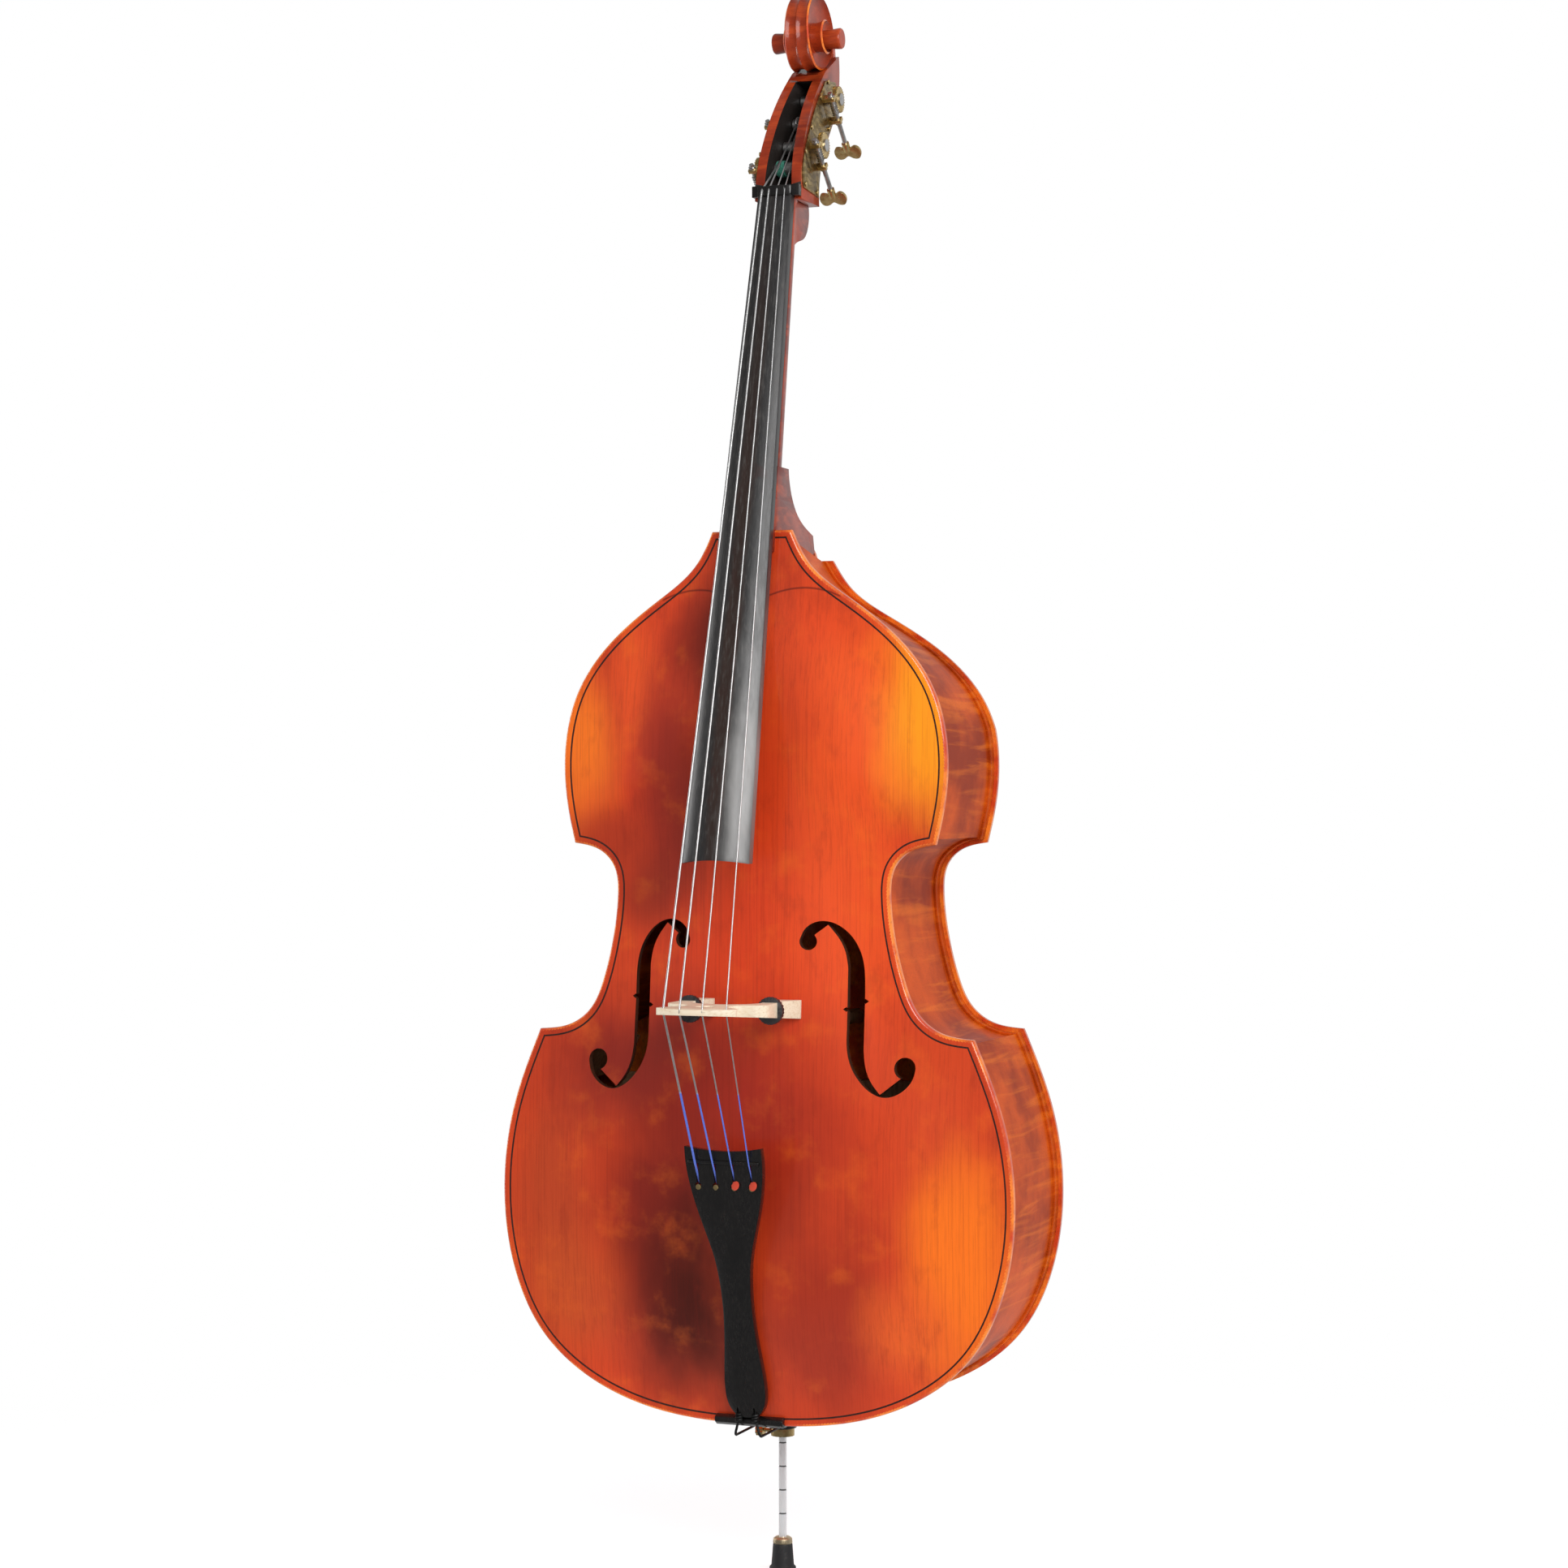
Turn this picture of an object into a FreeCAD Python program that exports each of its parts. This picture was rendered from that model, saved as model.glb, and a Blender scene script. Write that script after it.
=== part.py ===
import FreeCAD, Part
import math
import os
from FreeCAD import Matrix, Vector

# Double bass, millimetres. Heights are measured from the bottom edge of the body while building,
# and every piece is lifted by BODY_BOTTOM when it is written, so the rubber foot stands on Z = 0.
# +Z up, the front faces -Y, X = 0 is the middle plane and Y = 0 the middle of the lower ribs.

# ---- body ----
BODY_BOTTOM = 215.0       # floor to the bottom edge of the body, endpin drawn out
BODY_LENGTH = 1110.0
RIB_DEPTH = 205.0
PLATE_EDGE = 9.3          # thickness of both plates at their edge
PLATE_ARCHED = 9.9        # and of the front where it is arched, measured from front to back
OVERHANG = 8.0            # plate edge beyond the ribs
RIB_THICK = 2.2
LINING_PROUD = 3.0
LINING_WIDE = 15.0
ARCH_FRONT = 27.5         # rise of the carved front
ARCH_RUN = 168.0          # distance from the edge over which the arch rises
EDGE_FLAT = 13.0          # flat rim before the arch starts
BACK_BREAK = 866.0        # the flat back bends forward above this height
BACK_RISE = 0.8825        # height gained along the bent back, per millimetre of front
BACK_LEAN = 0.2502        # depth lost along the bent back, per millimetre of front
PURFLING_IN = 8.5
PURFLING_WIDE = 1.6
PURFLING_DEEP = 2.0
NECK_ROOT_HALF = 32.0     # half width of the heel at the front plate
NECK_ROOT_Z = 1083.0      # bottom of the mortise in the front plate
SHOULDER_HALF = 52.5      # half width of the flat top of the body

END_BLOCK_DEEP = 45.0
NECK_BLOCK_DEEP = 60.0
CORNER_BLOCK_DEEP = 42.0
SADDLE_HALF = 45.0
SADDLE_TALL = 12.0
SOUND_POST = (64.0, 496.0)        # x and height
SOUND_POST_R = 9.5
BACK_BRACES = [(170, 285), (400, 270), (640, 160), (800, 225)]    # height and half length

RIB_IN = OVERHANG + RIB_THICK
Y_FRONT = -RIB_DEPTH / 2
Y_BACK = RIB_DEPTH / 2
Y_BELLY = Y_FRONT - PLATE_EDGE
SADDLE_Y = Y_BELLY - 9

# Half outline of the front, seen from the front, as (x, height), from the bottom centre upwards.
LOWER_BOUT = [(0, 0), (115, 8), (216, 42.5), (286, 100), (325.5, 180), (339.5, 285), (325, 388),
              (288.5, 484.7)]
WAIST = [(288.5, 484.7), (245, 492.5), (217.5, 514), (202, 546), (188, 600), (181.3, 655), (187.5, 694),
         (205, 711.5), (240.2, 721)]
UPPER_BOUT = [(240.2, 721), (248.5, 757), (254.8, 812), (250.6, BACK_BREAK)]
SHOULDER = [(250.6, BACK_BREAK), (238.5, 907), (199, 966), (126, 1026), (73, 1071),
            (SHOULDER_HALF, BODY_LENGTH)]
BREAK_TANGENT = (-0.19, 1)

# ---- f-holes: right-hand one, as runs of (x, height) points; each run is one smooth curve ----
F_OUTER_TOP = [(72.5, 602), (78.2, 616.5), (88, 624.6), (103.5, 627.3), (130.3, 614), (149, 581),
               (152.3, 545)]
F_INNER_LOW = [(152.7, 470), (156.4, 447), (164.6, 429.5), (175.1, 416.8)]
F_OUTER_LOW = [(217.3, 448.8), (215, 437.5), (207, 425), (194, 416), (180, 413.2), (164.6, 418.4),
               (149.9, 431.2), (138.5, 448.8), (132.5, 470), (131.6, 495)]
F_INNER_TOP = [(131.3, 570), (127.9, 589), (120.6, 605), (106.7, 622.6)]
F_UPPER_NOSE = (90.4, 610.1)
F_LOWER_NOSE = (198, 435.2)
F_UPPER_EYE = (83.1, 602.1, 10.6)
F_LOWER_EYE = (204.0, 448.8, 13.2)
F_NICKS = [(153.2, 529.4), (130.2, 519.4)]

# ---- neck, fingerboard, nut ----
NUT_Z = 1540.0            # fingerboard end of the nut
NUT_TALL = 14.0
BOARD_END_Z = 701.0
BOARD_WIDE_NUT = 45.0
BOARD_WIDE_END = 88.0
BOARD_SIDE = 12.5
BOARD_ARCH_R = 65.0
GLUE_Y_NUT = -16.5        # fingerboard's glue face at the nut
GLUE_Y_END = -217.4       # and in the line of its free end
NECK_DEPTHS = [(1150, 42), (1300, 37), (1480, 32), (1541, 31)]    # height, depth behind the fingerboard
BOARD_HOLLOW_R = 240.0    # the board's free end is slightly hollow
BOARD_HOLLOW_DEEP = 4.0
BOARD_CHANNEL = (1060, 690)    # heights between which the board's underside is hollowed
BOARD_CHANNEL_DEEP = 7.0
BOARD_CHANNEL_HALF = 30.0
NUT_BASE_Y = -27.0        # front of the nut beside the strings

# ---- string run ----
NUT_TOP_Y = -35.4         # string axis on the nut, middle line
BRIDGE_Z = 524.0
BRIDGE_TOP_Y = -308.6     # crown of the bridge on the middle line
CROWN_R = 66.0
STRING_HOLE_Z = 305.0
STRING_BEND_R = 9.0
FRET_Z = 335.0            # bar across the tailpiece that the strings bend over
FRET_R = 2.2
FRET_HALF = 46.0

# ---- bridge ----
BRIDGE_FOOT_Y = -137.0
BRIDGE_BLANK_LOW = 34.0   # the bridge's blank reaches this far below the strings' line
BRIDGE_BLANK_WIDE = 60.0
BRIDGE_FOOT_LOW = 507.5
BRIDGE_FOOT_DEEP = 23.0
BRIDGE_CROWN_DEEP = 7.0
BRIDGE_FOOT_IN = 37.0
BRIDGE_FOOT_OUT = 76.0
ADJUSTER_X = 53.0
ADJUSTER_Y = -181.0
ADJUSTER_R = 17.0
ADJUSTER_THICK = 6.0
ADJUSTER_GAP = 4.0        # room to turn the bridge down from rest
ADJUSTER_POST_R = 4.0
ADJUSTER_POST_REACH = 18.0
KNURLS = 24
KNURL_R = 1.3
BRIDGE_MID_Z = 519.5      # middle of the bridge's thickness at the wheels
FOOT_TOP_Y = ADJUSTER_Y + ADJUSTER_THICK / 2 + ADJUSTER_GAP
# half profile of the bridge from the crown's corner down to the leg, as (x, y)
BRIDGE_SIDE = [(49.5, -294.5), (51, -286), (44, -276), (30, -262), (29, -248), (38, -238), (54, -233),
               (64, -224), (65, -208), (64, -196), (63, -184)]
BRIDGE_ARCH = [(44, -184), (40, -205), (22, -219), (0, -223)]
HEART = [(0, -247), (9, -256), (11, -265), (5, -270), (0, -265)]
FOOT_PROFILE = [(44, FOOT_TOP_Y), (62.5, FOOT_TOP_Y), (64, -158), (BRIDGE_FOOT_OUT, -142),
                (BRIDGE_FOOT_OUT, -118), (BRIDGE_FOOT_IN, -118), (BRIDGE_FOOT_IN, -146), (43, -158)]

# ---- tailpiece ----
TAILPIECE_TOP_Z = 354.0
TAILPIECE_TOP_Y = -207.0
TAILPIECE_LOW_Z = 12.0
TAILPIECE_LOW_Y = -122.0
# half widths, as (height, half width)
TAIL_HALF = [(12, 11.7), (27, 23.5), (48, 26.4), (88, 23.3), (150, 19), (182, 20), (214, 24), (262, 37),
             (308, 47.5), (354, 49.8)]
TAILPIECE_THICK = 10.0
BALL_HOLE_R = 4.2
CABLE_R = 1.6

# ---- endpin ----
PLUG_R = 16.0
PLUG_WAIST_R = 15.0       # the tail cable runs round this
CABLE_Z = -12.0
ROD_R = 5.0
RING_STEP = 30.0          # spacing of the ring grooves on the rod
RING_DEEP = 0.6
RING_WIDE = 1.6
SCREW_R = 2.5
SCREW_Z = -28.0
COLLAR_R = 15.0
COLLAR_LOW_Z = -33.0
PLUG_TOP_Z = 52.0
ROD_TOP_Z = 215.0
FERRULE_Z = -162.0
FOOT_TOP_Z = -170.0
FOOT_SOCKET = 25.0
FOOT_LOW_Z = -215.0
FOOT_RIM_Z = -198.0       # where the foot flares to its widest
FIT = 0.05                # radial clearance of running fits

# ---- pegbox, scroll, rollers and worm machines; profiles are (y, height) points ----
CHEEK_HALF_LOW = 31.5
CHEEK_TAPER = 0.045       # loss of half width per millimetre of height above the nut
CHEEK_THICK = 12.5
PEGBOX_FRONT = [(-16.5, 1554), (-15, 1568), (-8, 1592), (6, 1620), (29, 1655), (60, 1690), (96, 1722)]
PEGBOX_BACK = [(150, 1752), (148, 1720), (138, 1690), (118, 1660), (93, 1632), (70, 1603), (56, 1575),
               (49, 1537)]
CAVITY_BACK = [(36, 1556), (42, 1576), (58, 1606), (80, 1637), (106, 1663), (124, 1690), (124, 1703)]
CHIN = [(-12, 1478), (4, 1486), (26, 1494), (39, 1510), (41, 1537)]
CHIN_HALF = 20.0
VOLUTE = [(150, 1752), (151, 1768), (143, 1797), (123, 1816), (98, 1822), (72, 1816), (57, 1795),
          (53.5, 1765), (56, 1742), (64, 1725), (79, 1717), (96, 1722)]
VOLUTE_HALF = 15.3
INNER_TURN_R = 26.0
INNER_TURN_HALF = 25.0
EYE_R = 12.5
EYE_HALF = 47.0
EYE_Y = 93.7
EYE_Z = 1762.0
HEEL_CURVE = [(-60.5, 1190), (-51, 1160), (-29, 1136), (2, 1121.5), (32.4, 1113)]
HEEL_PLAN_BACK = 28.0     # half width of the heel at the button

ROLLER_R = 8.0
JOURNAL_R = 5.5
WINDING_R = 10.6
WINDING_HALF = 7.0
# string, side of its gear, roller axis (y, height), middle of the winding
ROLLERS = {"e": (-1, 20.0, 1583.0, -8.0), "g": (1, 47.0, 1615.0, 7.5), "a": (-1, 77.0, 1650.0, -3.0),
           "d": (1, 103.0, 1685.0, 3.0)}
WORM_TILT = 42.0          # the shafts fall backwards by this angle
GEAR_X = 38.0
GEAR_THICK = 6.0
GEAR_TEETH = 28
GEAR_PITCH_R = 16.0
GEAR_TIP_R = 17.0
GEAR_ROOT_R = 15.0
WORM_R = 4.6
WORM_CORE_R = 3.2
WORM_TURNS = 5
WORM_PITCH = 2 * math.pi * GEAR_PITCH_R / GEAR_TEETH
MESH_DEPTH = 0.9
WORM_DISTANCE = GEAR_TIP_R + WORM_R - MESH_DEPTH
SHAFT_R = 3.0
BRACKET_AT = 17.5
BRACKET_LONG = 5.0
KEY_AT = 60.0
PLATE_THICK = 2.0
PLATE_FRONT = [(-10, 1552), (-8, 1584), (8, 1612), (33, 1648), (62, 1681), (90, 1708)]
PLATE_BACK = [(126, 1713), (133, 1700), (126, 1680), (110, 1659), (87, 1632), (65, 1604), (51, 1576),
              (44, 1548)]
PLATE_SCREWS = [(-4, 1557), (38, 1553), (2, 1600), (60, 1612), (28, 1636), (94, 1646), (68, 1682),
                (122, 1704), (98, 1708)]

# ---- strings: name, diameter, x at the nut, x at the bridge, x at the tailpiece ----
STRINGS = [("e", 2.8, -15.3, -40.5, -36.0), ("a", 2.3, -5.4, -14.5, -13.0), ("d", 1.9, 5.4, 14.5, 11.0),
           ("g", 1.6, 15.3, 40.5, 34.0)]

# ======== helpers ========
def up(x, height, y=0.0):
    return Vector(x, y, height)


def spline(points, start=None, end=None):
    """Curve in the X-Z plane through (x, height) points, with optional end directions."""
    curve = Part.BSplineCurve()
    vectors = [up(*p) for p in points]
    tangents = [Vector(0, 0, 0) for _ in points]
    flags = [False] * len(points)
    if start:
        tangents[0] = up(*start)
        flags[0] = True
    if end:
        tangents[-1] = up(*end)
        flags[-1] = True
    curve.interpolate(Points=vectors, Tangents=tangents, TangentFlags=flags)
    return curve


def inset(curve, distance, samples=26):
    """The curve moved to its left, which is into the body."""
    if distance == 0:
        return curve
    points = []
    for i in range(samples + 1):
        t = curve.FirstParameter + (curve.LastParameter - curve.FirstParameter) * i / samples
        direction = curve.tangent(t)[0]
        points.append(curve.value(t) + Vector(-direction.z, 0, direction.x) * distance)
    moved = Part.BSplineCurve()
    moved.interpolate(Points=points)
    return moved


def at_depth(edge, y, bent=False):
    """A flat edge of the front outline, moved to depth y; bent edges follow the leaning upper back."""
    m = Matrix()
    m.A24 = y
    if bent:
        m.A22 = 0
        m.A23 = -BACK_LEAN
        m.A24 = y + BACK_LEAN * BACK_BREAK
        m.A33 = BACK_RISE
        m.A34 = BACK_BREAK * (1 - BACK_RISE)
    return edge.transformGeometry(m)


def polygon(points):
    return Part.makePolygon([*points, points[0]])


def mirrored(shape):
    return shape.mirror(Vector(0, 0, 0), Vector(1, 0, 0))


def prism_y(points, y0, y1):
    """Straight-sided block: (x, height) polygon pushed from depth y0 to y1."""
    return Part.Face(polygon([up(x, z, y0) for x, z in points])).extrude(Vector(0, y1 - y0, 0))


def prism_x(points, x0, x1):
    """(y, height) polygon pushed from x0 to x1."""
    return Part.Face(polygon([up(x0, z, y) for y, z in points])).extrude(Vector(x1 - x0, 0, 0))


def rod(start, end, radius):
    start = Vector(*start)
    end = Vector(*end)
    return Part.makeCylinder(radius, (end - start).Length, start, end - start)


def box(x0, x1, y0, y1, z0, z1):
    return Part.makeBox(x1 - x0, y1 - y0, z1 - z0, Vector(x0, y0, z0))


def join(shapes):
    whole = shapes[0]
    for other in shapes[1:]:
        whole = whole.fuse(other)
    return whole


def write(name, *shapes):
    """One STEP file per node, lifted so that the foot stands on Z = 0."""
    lifted = []
    for shape in shapes:
        for solid in shape.Solids:
            if not solid.isValid():
                print("INVALID", name)
            lifted.append(solid.translated(Vector(0, 0, BODY_BOTTOM)))
    out = lifted[0] if len(lifted) == 1 else Part.makeCompound(lifted)
    out.exportStep(f"parts/{name}.step")


# ======== the body ========
LOWER_CURVE = spline(LOWER_BOUT, start=(1, 0))
WAIST_CURVE = spline(WAIST)
UPPER_CURVE = spline(UPPER_BOUT, end=BREAK_TANGENT)
SHOULDER_CURVE = spline(SHOULDER, start=BREAK_TANGENT)


def outline_face(distance, y, bent):
    """The body's outline as a face at depth y, drawn in by distance; bent picks the part above the break."""
    curves = [SHOULDER_CURVE] if bent else [LOWER_CURVE, WAIST_CURVE, UPPER_CURVE]
    right = [at_depth(inset(c, distance).toShape(), y, bent) for c in curves]
    pieces = right + [mirrored(e) for e in reversed(right)]
    ends = [right[-1].Vertexes[-1].Point, right[0].Vertexes[0].Point]
    for end in ends:
        if abs(end.x) > 1e-6:
            pieces.append(Part.makeLine(Vector(-end.x, end.y, end.z), end))
    return Part.Face(Part.Wire(Part.__sortEdges__(pieces)))


def slab(y0, y1):
    """Plate blank: the flat part up to the break, and the shoulder part above it, both straight."""
    flat = outline_face(0, y0, False).extrude(Vector(0, y1 - y0, 0))
    m = Matrix()
    m.A24 = y0
    right = SHOULDER_CURVE.toShape().transformGeometry(m)
    left = mirrored(right)
    top = Part.makeLine(up(-SHOULDER_HALF, BODY_LENGTH, y0), up(SHOULDER_HALF, BODY_LENGTH, y0))
    base = Part.makeLine(up(-SHOULDER[0][0], BACK_BREAK, y0), up(SHOULDER[0][0], BACK_BREAK, y0))
    face = Part.Face(Part.Wire(Part.__sortEdges__([right, left, top, base])))
    return flat.fuse(face.extrude(Vector(0, y1 - y0, 0))).removeSplitter()


def outline_samples(count=30):
    points = []
    for curve in (LOWER_CURVE, WAIST_CURVE, UPPER_CURVE, SHOULDER_CURVE):
        for i in range(count):
            t = curve.FirstParameter + (curve.LastParameter - curve.FirstParameter) * i / count
            p = curve.value(t)
            points.append((p.x, p.z))
    points += [(x, BODY_LENGTH) for x in (52, 39, 26, 13, 0)]
    return points


EDGE_SAMPLES = outline_samples()


def arch(x, z):
    """Height of the carved front above its flat rim."""
    x = abs(x)
    width = half_width(z)
    if x >= width or z <= 0 or z >= BODY_LENGTH:
        return 0.0
    away = min(math.hypot(x - px, z - pz) for px, pz in EDGE_SAMPLES)
    t = min(max((away - EDGE_FLAT) / (ARCH_RUN - EDGE_FLAT), 0.0), 1.0)
    crown = 1 - 0.5 * (x / LOWER_BOUT[5][0]) ** 2 - 0.12 * ((z - 540) / 555) ** 2
    return ARCH_FRONT * (0.5 - 0.5 * math.cos(math.pi * t ** 0.85)) * crown


def half_width(z):
    """Half width of the outline at a height, from its sampled points."""
    for (x0, z0), (x1, z1) in zip(EDGE_SAMPLES, EDGE_SAMPLES[1:]):
        if min(z0, z1) <= z <= max(z0, z1) and z0 != z1:
            return x0 + (x1 - x0) * (z - z0) / (z1 - z0)
    return 0.0


def arched_sheet(y_rim, thick):
    """A slab of even thickness whose face follows the arch, bigger than the body all round."""
    columns = 25
    rows = 39
    reach_x = 350.0
    margin = 10.0
    grid = []
    for i in range(columns):
        x = -reach_x + 2 * reach_x * i / (columns - 1)
        line = []
        for j in range(rows):
            z = -margin + (BODY_LENGTH + 2 * margin) * j / (rows - 1)
            line.append(up(x, z, y_rim - arch(x, z)))
        grid.append(line)
    surface = Part.BSplineSurface()
    surface.interpolate(grid)
    return surface.toShape().extrude(Vector(0, thick, 0))


def smooth_wire(runs, place):
    """Closed wire: every run of points is one smooth curve, and the runs are joined by straight lines."""
    edges = []
    for i, run in enumerate(runs):
        points = [place(*p) for p in run]
        if len(points) > 2:
            curve = Part.BSplineCurve()
            curve.interpolate(Points=points)
            edges.append(curve.toShape())
        elif len(points) == 2:
            edges.append(Part.makeLine(*points))
        after = place(*runs[(i + 1) % len(runs)][0])
        if (points[-1] - after).Length > 1e-6:
            edges.append(Part.makeLine(points[-1], after))
    return Part.Wire(edges)


def f_hole_tool():
    """The right-hand f-hole: two hooks, a straight stem, a round eye at each end and two nicks."""
    y = Y_BELLY - 60
    runs = [F_OUTER_TOP, F_INNER_LOW, [F_LOWER_NOSE], F_OUTER_LOW, F_INNER_TOP, [F_UPPER_NOSE]]
    tool = Part.Face(smooth_wire(runs, lambda x, z: up(x, z, y))).extrude(Vector(0, 120, 0))
    for x, z, r in (F_UPPER_EYE, F_LOWER_EYE):
        tool = tool.fuse(rod((x, y, z), (x, y + 120, z), r))
    for x, z in F_NICKS:
        tool = tool.fuse(prism_y([(x - 4, z), (x, z - 3), (x + 4, z), (x, z + 3)], y, y + 120))
    return tool


TOP_CURVE = Part.LineSegment(up(SHOULDER_HALF, BODY_LENGTH), up(0, BODY_LENGTH))
CURVES = {"lower": LOWER_CURVE, "waist": WAIST_CURVE, "upper": UPPER_CURVE, "shoulder": SHOULDER_CURVE,
          "top": TOP_CURVE}
BENT = ("shoulder", "top")


def straight_inset(curve, distance):
    if isinstance(curve, Part.LineSegment):
        shift = Vector(0, 0, -distance)
        return Part.LineSegment(curve.StartPoint + shift, curve.EndPoint + shift)
    return inset(curve, distance)


def wall_line(name, distance):
    """Edges of one inset curve; those that meet at the break run on past it, to be trimmed there."""
    line = straight_inset(CURVES[name], distance)
    start = line.value(line.FirstParameter)
    end = line.value(line.LastParameter)
    past = up(*BREAK_TANGENT) * 10
    edges = [line.toShape()]
    if name == "upper":
        edges.append(Part.makeLine(end, end + past))
        end = end + past
    elif name == "shoulder":
        edges.insert(0, Part.makeLine(start - past, start))
        start = start - past
    return edges, start, end


def strip(name, near, far):
    """Band of the body's wall between two insets, from the front plate to the back plate."""
    outer, outer_start, outer_end = wall_line(name, near)
    inner, inner_start, inner_end = wall_line(name, far)
    flat = [*outer, Part.makeLine(outer_end, inner_end), *inner, Part.makeLine(inner_start, outer_start)]
    wires = []
    for y, bent in ((Y_FRONT, False), (Y_BACK, name in BENT)):
        wires.append(Part.Wire(Part.__sortEdges__([at_depth(edge, y, bent) for edge in flat])))
    band = Part.makeLoft(wires, True, True)
    if name == "upper":
        band = band.cut(box(-400, 400, -200, 200, BACK_BREAK, 1300))
    elif name == "shoulder":
        band = band.cut(box(-400, 400, -200, 200, 600, BACK_BREAK))
    return band


def corner_wedge(tip, side):
    """Big wedge on one side of the mitre line of a corner; side is +1 above the waist's rib, -1 below."""
    x, z = tip
    lean = 1 if z > 600 else -1
    far_out = (x + 40, z - 40 * lean)
    far_in = (x - 70, z + 70 * lean)
    if side > 0:
        points = [far_out, far_in, (x - 70, z + 160 * lean), (x + 130, z + 160 * lean),
                  (x + 130, z - 40 * lean)]
    else:
        points = [far_out, far_in, (x - 170, z + 70 * lean), (x - 170, z - 80 * lean),
                  (x + 40, z - 80 * lean)]
    return prism_y(points, -200, 200)


UPPER_TIP = WAIST[-1]
LOWER_TIP = WAIST[0]


def shoulder_cap(depth):
    """Everything above the sloping top of the body, lowered by depth."""
    top = BODY_LENGTH - depth
    back_z = BACK_BREAK + BACK_RISE * (top - BACK_BREAK)
    back_y = Y_BACK - BACK_LEAN * (top - BACK_BREAK)
    slope = (back_z - top) / (back_y - Y_FRONT)
    low = (Y_FRONT - 60, top - 60 * slope)
    high = (back_y + 120, back_z + 120 * slope)
    return prism_x([low, high, (high[0], 1300), (low[0], 1300)], -120, 120)


def wall(near, far):
    """The three bands of one side between two insets: upper, waist and lower, mitred at the corners."""
    upper = join([strip("upper", near, far), strip("shoulder", near, far)])
    upper = upper.cut(shoulder_cap(near))
    top = strip("top", near, far).cut(strip("shoulder", -20, near))
    upper = join([upper, top])
    upper = upper.cut(corner_wedge(UPPER_TIP, -1))
    waist = strip("waist", near, far).cut(corner_wedge(UPPER_TIP, 1)).cut(corner_wedge(LOWER_TIP, 1))
    lower = strip("lower", near, far).cut(corner_wedge(LOWER_TIP, -1))
    return upper, waist, lower


def lean_layer(deep0, deep1):
    """Layer of space between two depths in front of the back plate's inner face."""
    reach = 420
    def line(deep):
        y = Y_BACK - deep
        return [(y, -60), (y, BACK_BREAK), (y - BACK_LEAN * reach, BACK_BREAK + BACK_RISE * reach)]
    return prism_x(line(deep0) + line(deep1)[::-1], -400, 400)


def neck_bed():
    """Mortise for the heel, open upwards."""
    return box(-NECK_ROOT_HALF, NECK_ROOT_HALF, Y_BELLY - 10, Y_FRONT, NECK_ROOT_Z, 1200)


def saddle_bed():
    return box(-SADDLE_HALF, SADDLE_HALF, Y_BELLY - 5, Y_FRONT, -5, SADDLE_TALL)


def front_and_purfling():
    """Carved front with its f-holes, and the line of purfling let into it."""
    blank = slab(Y_BELLY - 50, Y_FRONT)
    front = blank.common(arched_sheet(Y_BELLY, PLATE_ARCHED))
    right_f = f_hole_tool()
    ring = slab_ring(PURFLING_IN, PURFLING_IN + PURFLING_WIDE, Y_BELLY - 1, Y_BELLY + PURFLING_DEEP)
    for tool in (right_f, mirrored(right_f), saddle_bed(), neck_bed(), ring):
        front = front.cut(tool)
    inlay = ring.cut(box(-400, 400, Y_BELLY - 2, Y_BELLY, -10, 1200))
    return front, inlay.cut(saddle_bed()).cut(neck_bed())


def saddle():
    profile = [(Y_FRONT, -1), (Y_BELLY - 2, -1), (Y_BELLY - 8, 3), (SADDLE_Y, 8), (Y_BELLY - 4, SADDLE_TALL),
               (Y_FRONT, SADDLE_TALL)]
    return prism_x(profile, -SADDLE_HALF, SADDLE_HALF)


def linings(root):
    """Bands outside the ribs, along the front and along the back."""
    layers = (box(-400, 400, Y_FRONT, Y_FRONT + LINING_WIDE, -60, 1200), lean_layer(0, LINING_WIDE))
    pieces = []
    for band in wall(OVERHANG - LINING_PROUD, OVERHANG):
        for layer in layers:
            piece = band.common(layer).cut(root)
            pieces += [piece, mirrored(piece)]
    return pieces


def end_block(plug_hole):
    half = strip("lower", RIB_IN, RIB_IN + END_BLOCK_DEEP).common(box(-75, 75, -120, 120, -20, 120))
    return join([half, mirrored(half)]).cut(plug_hole)


def neck_block(root):
    half = strip("top", RIB_IN, RIB_IN + NECK_BLOCK_DEEP).cut(strip("shoulder", -30, RIB_IN))
    return join([half, mirrored(half)]).cut(root)


def corner_blocks():
    waist_side = strip("waist", -40, RIB_IN)
    pieces = []
    for name, low, high in (("upper", 700, 785), ("lower", 415, 500)):
        block = strip(name, RIB_IN, RIB_IN + CORNER_BLOCK_DEEP).common(box(0, 400, -150, 150, low, high))
        block = block.cut(waist_side)
        pieces += [block, mirrored(block)]
    return pieces


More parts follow.
